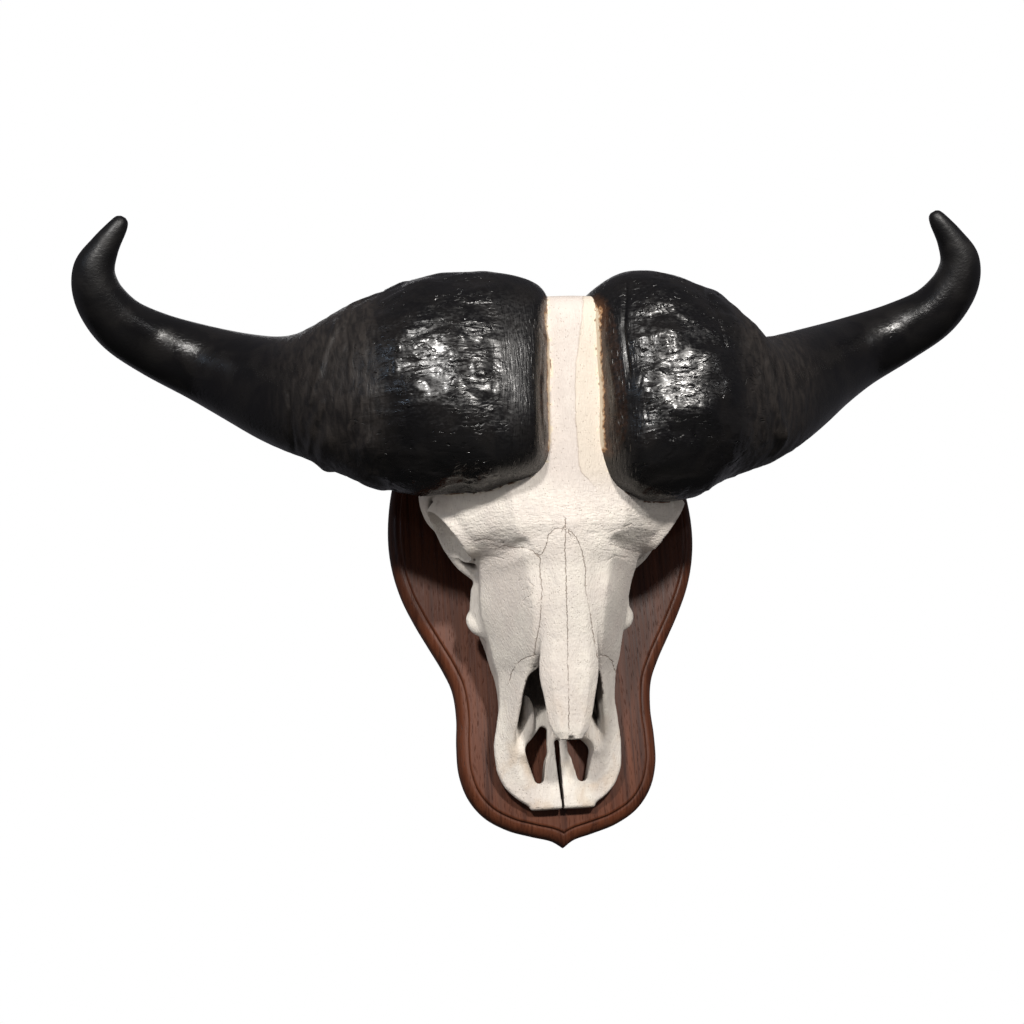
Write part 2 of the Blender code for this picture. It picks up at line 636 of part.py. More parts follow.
def flat_mesh(name, outlines, thickness):
    """A flat piece in the XZ plane from closed outlines, the later ones being holes in the first."""
    curve = bpy.data.curves.new(name, "CURVE")
    curve.dimensions = "2D"
    curve.fill_mode = "BOTH"
    curve.extrude = thickness / 2
    for outline in outlines:
        line = curve.splines.new("POLY")
        line.points.add(len(outline) - 1)
        for point, (x, z) in zip(line.points, outline):
            point.co = (x, z, 0, 1)
        line.use_cyclic_u = True
    source = bpy.data.objects.new(name, curve)
    bpy.context.scene.collection.objects.link(source)
    mesh = evaluated_copy(name, source)
    bpy.data.objects.remove(source)
    work = bmesh.new()
    work.from_mesh(mesh)
    bmesh.ops.remove_doubles(work, verts=work.verts[:], dist=0.00001)
    bmesh.ops.rotate(work, verts=work.verts[:], matrix=Matrix.Rotation(math.pi / 2, 3, "X"))
    bmesh.ops.recalc_face_normals(work, faces=work.faces[:])
    work.to_mesh(mesh)
    work.free()
    return mesh


def arc(centre, radius, start, end, count):
    """Points on an arc of the XZ plane, angles in degrees."""
    turns = [math.radians(start + (end - start) * step / (count - 1)) for step in range(count)]
    return [(centre[0] + radius * math.cos(t), centre[1] + radius * math.sin(t)) for t in turns]


def stadium(width, length, count=9):
    """An upright outline with half round ends."""
    reach = (length - width) / 2
    return arc((0, reach), width / 2, 0, 180, count) + arc((0, -reach), width / 2, 180, 360, count)


def build_hanger(parts, cutters, material, screw_material, board):
    """The keyhole plate in its pocket, its two screws and the pocket for the head of the wall screw."""
    pocket = add_object(
        "hanger_pocket",
        flat_mesh("hanger_pocket", [stadium(HANGER_WIDTH + 4 * FIT_GAP, HANGER_LENGTH + 4 * FIT_GAP)], 0.004),
        cutters,
    )
    pocket.location = (0, 0.002 - HANGER_THICKNESS - 3 * FIT_GAP, HANGER_Z)
    nail_mesh = flat_mesh("nail_pocket", [stadium(0.014, 0.026)], 2 * NAIL_POCKET_DEPTH)
    nail = add_object("nail_pocket", nail_mesh, cutters)
    nail.location = (0, 0, HANGER_Z)
    boolean(board, "DIFFERENCE", as_cutter(pocket))
    boolean(board, "DIFFERENCE", as_cutter(nail))
    lean = math.degrees(math.acos(KEYHOLE_NECK / KEYHOLE_RADIUS))
    keyhole = arc((0, -0.005), KEYHOLE_RADIUS, 180 - lean, 360 + lean, 13)
    keyhole += arc((0, 0.008), KEYHOLE_NECK, 0, 180, 7)
    outline = stadium(HANGER_WIDTH, HANGER_LENGTH)
    plate_mesh = flat_mesh("hanger_plate", [outline, keyhole], HANGER_THICKNESS)
    plate = add_object("hanger_plate", plate_mesh, parts, material)
    plate.location = (0, -HANGER_THICKNESS / 2 - FIT_GAP, HANGER_Z)
    for name, offset in HANGER_SCREWS:
        screw = build_screw(name, HANGER_Z + offset, HANGER_SCREW_LENGTH, screw_material, parts)
        bpy.context.view_layer.update()
        space = grown_cutter(f"{name}_space", screw, cutters)
        boolean(plate, "DIFFERENCE", space)
        boolean(board, "DIFFERENCE", space)


def build_board_screws(parts, cutters, material, board, skull):
    for name, height, tip_depth in BOARD_SCREWS:
        screw = build_screw(name, height, BOARD_THICKNESS + tip_depth, material, parts)
        bpy.context.view_layer.update()
        space = grown_cutter(f"{name}_space", screw, cutters)
        boolean(board, "DIFFERENCE", space)
        boolean(skull, "DIFFERENCE", space)


def board_outline(inset):
    """Closed outline of the board, moved in by a distance, from its lower point anticlockwise."""
    half = np.array(BOARD_OUTLINE)
    outline = np.vstack([half, half[-2:0:-1] * (-1, 1)])
    ahead_edge = np.roll(outline, -1, axis=0) - outline
    ahead_edge /= np.linalg.norm(ahead_edge, axis=1)[:, None]
    behind_edge = np.roll(ahead_edge, 1, axis=0)
    normals = np.stack([-(ahead_edge + behind_edge)[:, 1], (ahead_edge + behind_edge)[:, 0]], axis=1)
    normals /= np.linalg.norm(normals, axis=1)[:, None]
    stretch = np.stack([-ahead_edge[:, 1], ahead_edge[:, 0]], axis=1)
    mitre = 1 / np.maximum((normals * stretch).sum(1), 0.5)
    return outline + normals * (mitre * inset)[:, None]


def build_board(parts, material):
    rings = [board_outline(inset) for inset, _ in BOARD_EDGE]
    count = len(rings[0])
    vertices = []
    for ring, (_, depth) in zip(rings, BOARD_EDGE):
        vertices.extend((x, -depth, z) for x, z in ring)
    faces = [tuple(range(count))]
    for ring in range(len(rings) - 1):
        for index in range(count):
            a, b = ring * count + index, ring * count + (index + 1) % count
            faces.append((a, a + count, b + count, b))
    last = (len(rings) - 1) * count
    faces.append(tuple(last + index for index in reversed(range(count))))
    mesh = mesh_from("plaque", vertices, faces)
    board = add_object("plaque", mesh, parts, material)
    return board


def main():
    for old in list(bpy.data.objects):
        bpy.data.objects.remove(old)
    parts = new_collection("cape_buffalo_skull")
    cutters = new_collection("cutters")
    bone = new_material("bleached_bone", (0.76, 0.68, 0.58), 0.7)
    enamel = new_material("tooth_enamel", (0.66, 0.55, 0.40), 0.4)
    horn = new_material("black_horn", (0.012, 0.011, 0.011), 0.25)
    walnut = new_material("walnut", (0.11, 0.035, 0.018), 0.35)
    brass = new_material("brassed_steel", (0.62, 0.45, 0.20), 0.35, 1.0)
    zinc = new_material("zinc_screws", (0.55, 0.55, 0.56), 0.4, 1.0)

    right = build_horn("horn_right", 1, parts, horn)
    left = build_horn("horn_left", -1, parts, horn)
    skull = build_skull(parts, cutters, bone, (right, left))
    build_teeth(parts, cutters, enamel, skull)
    board = build_board(parts, walnut)
    build_board_screws(parts, cutters, zinc, board, skull)
    build_hanger(parts, cutters, brass, zinc, board)


main()
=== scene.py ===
# %% [markdown]
# # A cape buffalo skull on a walnut shield
#
# The bleached skull of a cape buffalo keeps its two black horns, whose bases swell into bosses
# that nearly meet over the forehead. Two screws hold it on a shield board with a moulded edge.
# Bone, horn and varnished wood are three very different surfaces, and each is a lesson of its own.
#
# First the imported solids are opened. They fix where each piece is and how large it may be.

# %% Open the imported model
import math
from itertools import product

import bmesh
import bpy
import numpy as np
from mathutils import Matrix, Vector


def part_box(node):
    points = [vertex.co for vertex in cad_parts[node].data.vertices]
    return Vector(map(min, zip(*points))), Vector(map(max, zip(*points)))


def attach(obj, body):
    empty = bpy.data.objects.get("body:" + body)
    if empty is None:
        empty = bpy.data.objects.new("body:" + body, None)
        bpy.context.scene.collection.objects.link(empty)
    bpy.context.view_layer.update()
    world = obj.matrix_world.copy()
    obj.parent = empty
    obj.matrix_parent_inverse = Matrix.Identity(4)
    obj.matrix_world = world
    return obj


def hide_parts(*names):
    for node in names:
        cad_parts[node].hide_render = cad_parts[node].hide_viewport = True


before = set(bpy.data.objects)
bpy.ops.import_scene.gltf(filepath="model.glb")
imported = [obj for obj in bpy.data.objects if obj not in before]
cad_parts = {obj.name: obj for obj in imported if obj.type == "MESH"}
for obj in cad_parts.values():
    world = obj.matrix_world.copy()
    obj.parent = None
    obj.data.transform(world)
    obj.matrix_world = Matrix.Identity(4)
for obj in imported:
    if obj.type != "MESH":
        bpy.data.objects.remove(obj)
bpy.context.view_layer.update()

import openvdb
from mathutils import Matrix, Vector
from mathutils.bvhtree import BVHTree

print("solids", sorted(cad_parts))

# %% [markdown]
# ## Camera
#
# The photographer stood a little to the left of the skull and well below it, looking up, which is
# how such a trophy is seen on a wall. A camera can be placed by hand and eye, but three angles
# and a distance are easier to refine. The lens is a normal one, so what is nearer looks only
# slightly larger.

# %% Camera below and to the left of the skull
TURN = math.radians(6.82)
RISE = math.radians(15.64)
TILT = math.radians(3.63)
LENS_MM = 49.22
SENSOR_MM = 36
CAMERA_PLACE = Vector((-0.205, -1.464, -0.34))

ahead = Vector((math.sin(TURN) * math.cos(RISE), math.cos(TURN) * math.cos(RISE), math.sin(RISE)))
level = Vector((math.cos(TURN), -math.sin(TURN), 0))
upright = level.cross(ahead)
to_right = math.cos(TILT) * level - math.sin(TILT) * upright
to_top = math.sin(TILT) * level + math.cos(TILT) * upright

camera = bpy.data.objects.new("camera", bpy.data.cameras.new("camera"))
camera.data.sensor_width = SENSOR_MM
camera.data.lens = LENS_MM
camera.data.clip_start = 0.05
directions = Matrix((to_right, to_top, -ahead)).transposed()
camera.matrix_world = Matrix.Translation(CAMERA_PLACE) @ directions.to_4x4()
bpy.context.scene.collection.objects.link(camera)
bpy.context.scene.camera = camera
print("camera", [round(value, 3) for value in CAMERA_PLACE])

# %% [markdown]
# ## Light and floor
#
# Glossy black horn shows mostly what it reflects, so the lamps decide its shape: two small soft
# boxes in front give the marks on the bosses, and two further out those along the horns. The first
# two stand high and near the middle, so that the bosses throw their shadows over the brow and the
# board. Two large, weak boxes at the sides light the bone alone, by light linking, and open up its
# flanks, and one behind lights the upper edges. The world is white where the camera sees it, and
# dimmer where it lights and is mirrored, so that the horns stay black. A `Light Path` node tells
# the two apart.

# %% Soft boxes, world and floor
def add_soft_box(name, place, aim, size, watts, colour=(1.0, 1.0, 1.0)):
    lamp = bpy.data.lights.new(name, "AREA")
    lamp.shape = "RECTANGLE"
    lamp.size, lamp.size_y = size
    lamp.energy = watts
    lamp.color = colour
    box = bpy.data.objects.new(name, lamp)
    box.location = place
    box.rotation_euler = (Vector(aim) - Vector(place)).to_track_quat("-Z", "Y").to_euler()
    bpy.context.scene.collection.objects.link(box)
    return box


# Where the lamps are aimed, how large they are, and a warm white.
BROW = (0.0, -0.1, 0.05)
NOSE = (0.0, -0.1, -0.1)
KEY_SIZE = (0.18, 0.18)
GLINT_SIZE = (0.07, 0.07)
FILL_SIZE = (1.4, 1.2)
WARM = (1.0, 0.97, 0.93)
add_soft_box("key_right", (0.50, -2.40, 0.88), BROW, KEY_SIZE, 52, (1.0, 0.965, 0.92))
add_soft_box("key_left", (-0.80, -2.35, 0.92), BROW, KEY_SIZE, 44, (1.0, 0.975, 0.945))
add_soft_box("glint_right", (1.75, -1.75, 0.90), (0.3, -0.1, 0.15), GLINT_SIZE, 2)
add_soft_box("glint_left", (-2.0, -1.60, 0.85), (-0.3, -0.1, 0.15), GLINT_SIZE, 2, (0.62, 0.78, 1.0))
bone_fills = [
    add_soft_box("fill_left", (-1.9, -1.3, 0.0), NOSE, FILL_SIZE, 11, WARM),
    add_soft_box("fill_right", (1.9, -1.3, 0.0), NOSE, FILL_SIZE, 7, WARM),
]
add_soft_box("back_rim", (0.0, 1.6, 1.4), (0.0, 0.0, 0.1), (1.6, 0.5), 3)

world = bpy.data.worlds.new("white_room")
world.use_nodes = True
bpy.context.scene.world = world
air = world.node_tree
air.nodes.clear()
world_out = air.nodes.new("ShaderNodeOutputWorld")
choose = air.nodes.new("ShaderNodeMixShader")
path = air.nodes.new("ShaderNodeLightPath")
air.links.new(path.outputs["Is Camera Ray"], choose.inputs["Fac"])
LIT_BY, SEEN = ((0.92, 0.90, 1.0, 1), 0.12), ((1, 1, 1, 1), 1.0)
for socket, (colour, strength) in zip(choose.inputs[1:], (LIT_BY, SEEN)):
    background = air.nodes.new("ShaderNodeBackground")
    background.inputs["Color"].default_value = colour
    background.inputs["Strength"].default_value = strength
    air.links.new(background.outputs["Background"], socket)
air.links.new(choose.outputs["Shader"], world_out.inputs["Surface"])
bpy.context.scene.view_settings.view_transform = "Standard"

FLOOR_Z = -1.15
FLOOR_REACH = 3.0
floor_mesh = bpy.data.meshes.new("floor")
square = ((-1, -1), (1, -1), (1, 1), (-1, 1))
floor_mesh.from_pydata([(x * FLOOR_REACH, y * FLOOR_REACH, FLOOR_Z) for x, y in square], [], [(0, 1, 2, 3)])
floor = bpy.data.objects.new("floor", floor_mesh)
bpy.context.scene.collection.objects.link(floor)

# %% [markdown]
# ## Bone
#
# A skull is one grown piece of bone full of hollows: eye sockets, the open nose, the slots in the
# front of the upper jaw. It could be sculpted from a block, but code that pushes vertices about
# soon tangles round every hole. Here the bone is a distance field: a grid of numbers, each the
# distance in millimetres from that point to the surface, below zero inside the bone. Shapes are
# added and cut by taking the lower or higher number, with a soft blend where two shapes meet, and
# any number of holes costs nothing. `openvdb`, which comes with Blender, then finds the surface.
#
# Half a skull is enough, because the other half is its mirror image until the fine detail goes on.

# %% A grid that holds half of the skull
MM = 0.001
BOARD_THICKNESS = 0.022
BONE_CELL = 1.3
BONE_LOW = (0.0, 0.0, -262.0)
BONE_HIGH = (146.0, 226.0, 286.0)
FAR = 60.0


class BoneField:
    """Signed distance to the bone on a grid over half the skull, built up shape by shape."""

    def __init__(self, cell):
        self.cell = cell
        self.axes = [np.arange(low, high, cell) for low, high in zip(BONE_LOW, BONE_HIGH)]
        self.value = np.full([len(axis) for axis in self.axes], FAR)

    def window(self, low, high):
        spans = []
        for axis, near, far in zip(self.axes, low, high):
            spans.append(slice(np.searchsorted(axis, near), np.searchsorted(axis, far)))
        grids = np.meshgrid(*[axis[span] for axis, span in zip(self.axes, spans)], indexing="ij", sparse=True)
        return tuple(spans), grids

    def join(self, shape, blend, sign):
        """Adds a shape to the bone for a sign of 1, or to the air for -1, which cuts it away."""
        low, high, distance = shape
        margin = blend + 2 * self.cell
        spans, grids = self.window(np.subtract(low, margin), np.add(high, margin))
        here = sign * self.value[spans]
        other = distance(*grids)
        overlap = np.maximum(blend - np.abs(here - other), 0)
        self.value[spans] = sign * (np.minimum(here, other) - overlap**2 / (4 * blend))

    def add(self, shape, blend):
        self.join(shape, blend, 1)

    def cut(self, shape, blend):
        self.join(shape, blend, -1)

# %% [markdown]
# ## The shapes that the bone is added up from
#
# Four kinds of shape are enough. An egg scoops out the eye sockets, a tube follows a bar such as
# the cheek arch, and a loft is a long body whose cross section changes from station to station:
# the braincase, the snout and the nose bones are lofts. A prism cuts the slots in the jaw. Each
# returns the box that it needs and a function that gives the distance at any point.

# %% Smooth curves through a few points
def spline(points, count):
    """Points along a smooth Catmull-Rom curve through the given points, count to each span."""
    points = np.asarray(points, float)
    padded = np.vstack([2 * points[0] - points[1], points, 2 * points[-1] - points[-2]])
    steps = np.linspace(0, 1, count, endpoint=False)[:, None]
    curve = []
    for before, start, end, after in zip(padded, padded[1:], padded[2:], padded[3:]):
        a = 2 * start
        b = end - before
        c = 2 * before - 5 * start + 4 * end - after
        d = -before + 3 * start - 3 * end + after
        curve.append(0.5 * (a + b * steps + c * steps**2 + d * steps**3))
    return np.vstack([*curve, points[-1:]])


def smooth_between(heights, values, level):
    """Values at a level, on smooth curves that don't overshoot between their stations."""
    index = int(np.clip(np.searchsorted(heights, level) - 1, 0, len(heights) - 2))
    slopes = np.diff(values, axis=0) / np.diff(heights)[:, None, None]
    tangents = [slopes[0], *[steady(a, b) for a, b in zip(slopes, slopes[1:])], slopes[-1]]
    step = heights[index + 1] - heights[index]
    t = (level - heights[index]) / step
    start, end = values[index], values[index + 1]
    bend = (1 + 2 * t) * (1 - t) ** 2 * start + t * t * (3 - 2 * t) * end
    return bend + step * (t * (1 - t) ** 2 * tangents[index] - t * t * (1 - t) * tangents[index + 1])


def steady(a, b):
    """Harmonic mean of two slopes, and nothing where the curve turns back."""
    same = a * b > 0
    return np.where(same, 2 * a * b / np.where(same, a + b, 1), 0)


# %% Eggs, tubes, lofts and slots
def spheroid(centre, along, across, axis=(0, 0, 1)):
    """An egg with one axis of its own and a round section."""
    axis = np.array(axis, float)
    axis /= np.linalg.norm(axis)
    reach = max(along, across)

    def distance(x, d, z):
        x, d, z = x - centre[0], d - centre[1], z - centre[2]
        run = x * axis[0] + d * axis[1] + z * axis[2]
        side = np.maximum(x * x + d * d + z * z - run * run, 0)
        near = np.sqrt((run / along) ** 2 + side / across**2)
        slope = np.sqrt((run / along**2) ** 2 + side / across**4)
        return near * (near - 1) / np.maximum(slope, 1e-6)

    return np.subtract(centre, reach), np.add(centre, reach), distance


def tube(points, radii):
    """A round bar along a smooth curve, its radius changing from point to point."""
    track = spline([(*point, radius) for point, radius in zip(points, radii)], 5)
    reach = max(radii)

    def distance(x, d, z):
        nearest = FAR
        for start, end in zip(track, track[1:]):
            step = end - start
            length = step[:3] @ step[:3]
            rx, rd, rz = x - start[0], d - start[1], z - start[2]
            t = np.clip((rx * step[0] + rd * step[1] + rz * step[2]) / length, 0, 1)
            gap = np.sqrt((rx - t * step[0]) ** 2 + (rd - t * step[1]) ** 2 + (rz - t * step[2]) ** 2)
            nearest = np.minimum(nearest, gap - start[3] - t * step[3])
        return nearest

    return track[:, :3].min(0) - reach, track[:, :3].max(0) + reach, distance


def polygon_distance(x, d, corners):
    """Signed distance to a closed outline that is mirrored at x = 0."""
    mirrored = [(-a, b) for a, b in corners[::-1] if a > 0]
    outline = np.array([*corners, *mirrored])
    square = None
    inside = np.zeros(np.broadcast(x, d).shape, bool)
    for start, end in zip(outline, np.roll(outline, -1, axis=0)):
        edge = end - start
        rx, rd = x - start[0], d - start[1]
        t = np.clip((rx * edge[0] + rd * edge[1]) / max(edge @ edge, 1e-9), 0, 1)
        gap = (rx - t * edge[0]) ** 2 + (rd - t * edge[1]) ** 2
        square = gap if square is None else np.minimum(square, gap)
        crosses = ((start[1] > d) != (end[1] > d)) & (rx < edge[0] * rd / (edge[1] or 1e-9))
        inside ^= crosses
    return np.sqrt(square) * np.where(inside, -1, 1)


def loft(stations, rounding):
    """A body whose section is a mirrored outline that changes with z."""
    heights = np.array([z for z, _ in stations])
    corners = np.array([outline for _, outline in stations], float)

    def distance(x, d, z):
        x, d, z = np.asarray(x), np.asarray(d), np.ravel(z)
        layers = []
        for level in z:
            held = np.clip(level, heights[0], heights[-1])
            section = smooth_between(heights, corners, held)
            flat = polygon_distance(x[..., 0], d[..., 0], section)
            past = abs(level - held)
            outside = np.hypot(np.maximum(flat, 0), past)
            layers.append(np.where(past > 0, outside, flat) - rounding)
        return np.stack(layers, axis=-1)

    low = (0, corners[..., 1].min() - rounding, heights[0] - rounding)
    high = (corners[..., 0].max() + rounding, corners[..., 1].max() + rounding, heights[-1] + rounding)
    return low, high, distance


def prism(points, radii, depth):
    """A slot through the plate of the upper jaw, round ended, as seen from the front."""
    (x0, z0), (x1, z1) = points
    run = np.array([x1 - x0, z1 - z0])

    def distance(x, d, z):
        t = np.clip(((x - x0) * run[0] + (z - z0) * run[1]) / (run @ run), 0, 1)
        flat = np.hypot(x - x0 - t * run[0], z - z0 - t * run[1]) - radii[0] - t * (radii[1] - radii[0])
        return np.maximum(flat, d - depth)

    reach = max(radii)
    low = (min(x0, x1) - reach, 0, min(z0, z1) - reach)
    return low, (max(x0, x1) + reach, depth, max(z0, z1) + reach), distance


# %% [markdown]
# ## Sections of the skull
#
# A station is a height, then corners of half a cross section, from the roof of the skull on the
# mid plane round to its base. The heights follow what can be measured: the nose bones end at
# -188, the eye sockets lie at 19 and the braincase ends above 200.

# %% Braincase, snout, nose cavity and nose bones
# Sections of the bone: z, then corners (x, depth) from the roof on the mid plane round to the base.
CRANIUM = (
    (-34, ((0, 112), (24, 104), (38, 88), (46, 70), (44, 46), (26, 36), (0, 38))),
    (-12, ((0, 146), (38, 136), (60, 110), (64, 82), (54, 44), (30, 30), (0, 32))),
    (8, ((0, 167), (50, 158), (84, 134), (78, 98), (58, 50), (30, 26), (0, 30))),
    (32, ((0, 172), (54, 165), (98, 140), (82, 106), (54, 60), (32, 30), (0, 32))),
    (60, ((0, 178), (58, 171), (104, 142), (86, 110), (50, 68), (36, 36), (0, 36))),
    (110, ((0, 186), (60, 180), (106, 146), (88, 114), (50, 72), (42, 38), (0, 38))),
    (160, ((0, 193), (62, 186), (106, 148), (90, 116), (54, 74), (48, 38), (0, 38))),
    (210, ((0, 200), (60, 192), (102, 148), (90, 116), (64, 76), (54, 38), (0, 36))),
    (262, ((0, 200), (54, 190), (92, 146), (84, 114), (66, 74), (54, 36), (0, 34))),
)
SNOUT = (
    (-246, ((0, 12), (22, 12), (30, 11), (24, 7), (0, 7))),
    (-236, ((0, 13), (32, 14), (44, 13), (36, 7), (0, 7))),
    (-224, ((0, 13), (38, 18), (54, 15), (46, 8), (0, 8))),
    (-207, ((0, 14), (45, 24), (60, 19), (52, 8), (0, 8))),
    (-187, ((0, 17), (47, 33), (61, 25), (54, 8), (0, 9))),
    (-165, ((0, 44), (45, 48), (58, 33), (52, 10), (0, 12))),
    (-143, ((0, 62), (41, 64), (55, 40), (52, 12), (0, 14))),
    (-120, ((0, 84), (35, 84), (56, 48), (54, 14), (0, 18))),
    (-105, ((0, 112), (32, 102), (60, 54), (58, 14), (0, 20))),
    (-85, ((0, 127), (32, 118), (64, 62), (62, 15), (0, 22))),
    (-60, ((0, 141), (34, 131), (70, 72), (68, 16), (0, 24))),
    (-30, ((0, 152), (38, 140), (73, 90), (66, 18), (0, 24))),
    (-5, ((0, 163), (44, 153), (78, 108), (62, 22), (0, 26))),
    (25, ((0, 160), (46, 150), (70, 104), (56, 20), (0, 28))),
)
NASAL_CAVITY = (
    (-194, ((0, 60), (40, 60), (43, 38), (37, 27), (0, 25))),
    (-165, ((0, 106), (34, 104), (42, 40), (41, 27), (0, 25))),
    (-143, ((0, 114), (31, 112), (40, 44), (41, 26), (0, 25))),
    (-126, ((0, 118), (25, 116), (40, 50), (42, 25), (0, 26))),
    (-117, ((0, 108), (20, 92), (42, 54), (45, 25), (0, 27))),
    (-100, ((0, 112), (21, 94), (45, 58), (48, 27), (0, 30))),
    (-60, ((0, 124), (26, 108), (50, 70), (50, 31), (0, 36))),
    (-20, ((0, 138), (24, 122), (38, 88), (36, 54), (0, 52))),
    (10, ((0, 120), (12, 112), (18, 94), (12, 76), (0, 74))),
)
NASALS = (
    (-188, ((0, 94), (7, 94), (10, 92), (9, 91), (0, 91))),
    (-182, ((0, 97), (10, 97), (15, 93), (14, 91), (0, 93))),
    (-172, ((0, 101), (12, 100), (19, 95), (18, 93), (0, 96))),
    (-150, ((0, 109), (15, 107), (23, 101), (22, 98), (0, 102))),
    (-125, ((0, 118), (18, 116), (27, 108), (26, 104), (0, 110))),
    (-100, ((0, 127), (16, 125), (26, 118), (24, 112), (0, 118))),
    (-60, ((0, 143), (12, 142), (21, 136), (19, 126), (0, 128))),
    (-30, ((0, 156), (11, 154), (20, 149), (18, 138), (0, 138))),
    (-8, ((0, 166), (8, 165), (13, 162), (11, 150), (0, 150))),
    (6, ((0, 171), (3, 171), (5, 169), (4, 160), (0, 160))),
)
ORBIT_CENTRE = (103, 100, 19)
ORBIT_AXIS = (0.82, -0.02, -0.57)
# The skull sits turned a little on its board: how far its front lies to the right of its back.
SKULL_TURN = 0.055
TURN_DEPTH = 100
# Its cheeks also lie a little to the left: how far, their height and reach, and the depth where
# the shift ends and over which it fades.
CHEEK_SHIFT = -3.0
CHEEK_HEIGHT = -45
CHEEK_REACH = 42
CHEEK_DEPTH = 110
CHEEK_FADE = 30
# The front of the jaw leans to the right below this height.
JAW_LEAN = 0.055
JAW_TOP = -185

# %% [markdown]
# ## Putting the bone together
#
# The order matters as it would for a sculptor: big masses, then the cheeks and eye sockets, then
# the nose is hollowed out and the thin nose bones are laid over the hollow like a roof.

# %% Cheeks, eye sockets, crown, jaw and base
def outside_socket(distance):
    """A point on the axis of the eye socket, this far outside its rim."""
    return np.add(ORBIT_CENTRE, np.multiply(ORBIT_AXIS, distance))


def bone_field(cell):
    bone = BoneField(cell)
    bone.add(loft(CRANIUM, 6), 1)
    bone.add(loft(SNOUT, 4), 14)
    add_cheek(bone)
    add_orbit(bone)
    cut_crown(bone)
    bone.cut(loft(NASAL_CAVITY, 2), 3)
    bone.add(loft(NASALS, 2), 5)
    bone.cut(spheroid((0, 94, -194), 8, 3.6, (0, 0.1, 1)), 1)
    shape_jaw_front(bone)
    add_base(bone)
    return bone


def add_cheek(bone):
    bone.add(tube(((71, 48, -68), (73, 50, -50), (73, 56, -32)), (9, 9, 8)), 10)
    bone.add(spheroid((79, 46, -62), 11, 7, (0.2, -0.2, 1)), 5)


def add_orbit(bone):
    bone.add(tube(((66, 108, 44), (97, 101, 24)), (42, 37)), 12)
    front_of_arch = ((74, 62, -16), (92, 64, -3), (104, 66, 13), (111, 67, 30), (122, 66, 46))
    back_of_arch = ((125, 62, 70), (112, 54, 96), (84, 48, 116))
    bone.add(tube(front_of_arch + back_of_arch, (8, 7, 6.5, 6.5, 7, 8, 10, 16)), 6)
    bone.cut(tube(((98, 90, -21), (84, 112, -20), (66, 133, -16), (46, 154, -10)), (9, 8, 7, 5)), 8)
    bone.add(tube(((104, 138, 56), (122, 112, 62), (124, 74, 62)), (12, 8, 7)), 8)
    bone.cut(spheroid(outside_socket(15), 42, 32, ORBIT_AXIS), 3)
    bone.cut(spheroid((98, 84, 88), 34, 20, (0.1, -0.5, 1)), 10)


def cut_crown(bone):
    """The top of the skull slopes up from the frontal ridge to the back of the head."""
    slope = np.array([0.0, 0.26, 0.966])
    edge = 200 * slope[1] + 230 * slope[2]

    def distance(x, d, z):
        return edge - (slope[0] * x + slope[1] * d + slope[2] * z)

    bone.cut(((0, 0, 190), BONE_HIGH, distance), 22)
    bone.cut(spheroid((0, 118, 290), 44, 52, (1, 0, 0)), 20)


def shape_jaw_front(bone):
    bone.add(tube(((37, 25, -190), (35, 27, -172), (33, 29, -155)), (9, 7, 3)), 7)
    bone.add(tube(((0, 26, -178), (0, 46, -130), (0, 84, -60)), (3, 3, 4)), 4)
    bone.cut(prism(((22, -219), (23, -193)), (5.0, 11.8), 60), 2)
    bone.cut(prism(((-0.5, -262), (0, -184)), (1.3, 2.6), 60), 1)


def add_base(bone):
    bone.cut(tube(((0, -16, -176), (0, -14, -80), (0, -14, 10)), (34, 35, 35)), 4)
    bone.add(tube(((22, 18, 6), (20, 14, 40), (18, 22, 78)), (5, 4, 6)), 6)
    bone.cut(spheroid((0, 30, 44), 34, 13, (0, 0, 1)), 4)
    bone.add(spheroid((40, 24, 176), 20, 14, (0, 0.2, 1)), 6)
    bone.add(tube(((56, 40, 224), (58, 22, 232), (54, 9, 236)), (13, 9, 5)), 8)
    bone.add(spheroid((25, 26, 252), 20, 15, (0.3, 0.5, 1)), 6)
    bone.cut(spheroid((0, 34, 264), 30, 16, (0, 0.3, 1)), 3)

# %% [markdown]
# ## From numbers to a mesh
#
# `convertToPolygons` returns the surface where the distance is nought. The mirror image is joined
# in the grid, not in the mesh, so there is no seam down the middle of the forehead. No skull grows
# quite straight, so every point is then moved a little to the side.

# %% The surface of the bone
def askew(x, depth, z, sign):
    """Moves x as the skull has grown askew, or back to the straight skull for a sign of -1."""
    x = x + sign * SKULL_TURN * (depth - TURN_DEPTH)
    in_front = np.clip((CHEEK_DEPTH - depth) / CHEEK_FADE, 0, 1)
    x = x + sign * CHEEK_SHIFT * in_front * np.exp(-(((z - CHEEK_HEIGHT) / CHEEK_REACH) ** 2))
    return x + sign * JAW_LEAN * np.maximum(JAW_TOP - z, 0)


def mesh_of_field(name, bone):
    """The surface of the half field and its mirror image, as one closed mesh in metres."""
    mirrored = np.concatenate([bone.value[:0:-1], bone.value], axis=0)
    padded = np.pad(mirrored, 1, constant_values=FAR)
    grid = openvdb.FloatGrid(FAR)
    grid.copyFromArray(padded)
    points, _, quads = grid.convertToPolygons(isovalue=0.0, adaptivity=0.0)
    points = (points - 1) * bone.cell
    depth = points[:, 1] + BONE_LOW[1]
    z = points[:, 2] + BONE_LOW[2]
    x = askew(points[:, 0] - bone.axes[0][-1], depth, z, 1)
    mesh = bpy.data.meshes.new(name)
    corners = np.stack([x * MM, -BOARD_THICKNESS - depth * MM, z * MM], axis=1)
    mesh.from_pydata(corners.tolist(), [], quads.tolist())
    return mesh


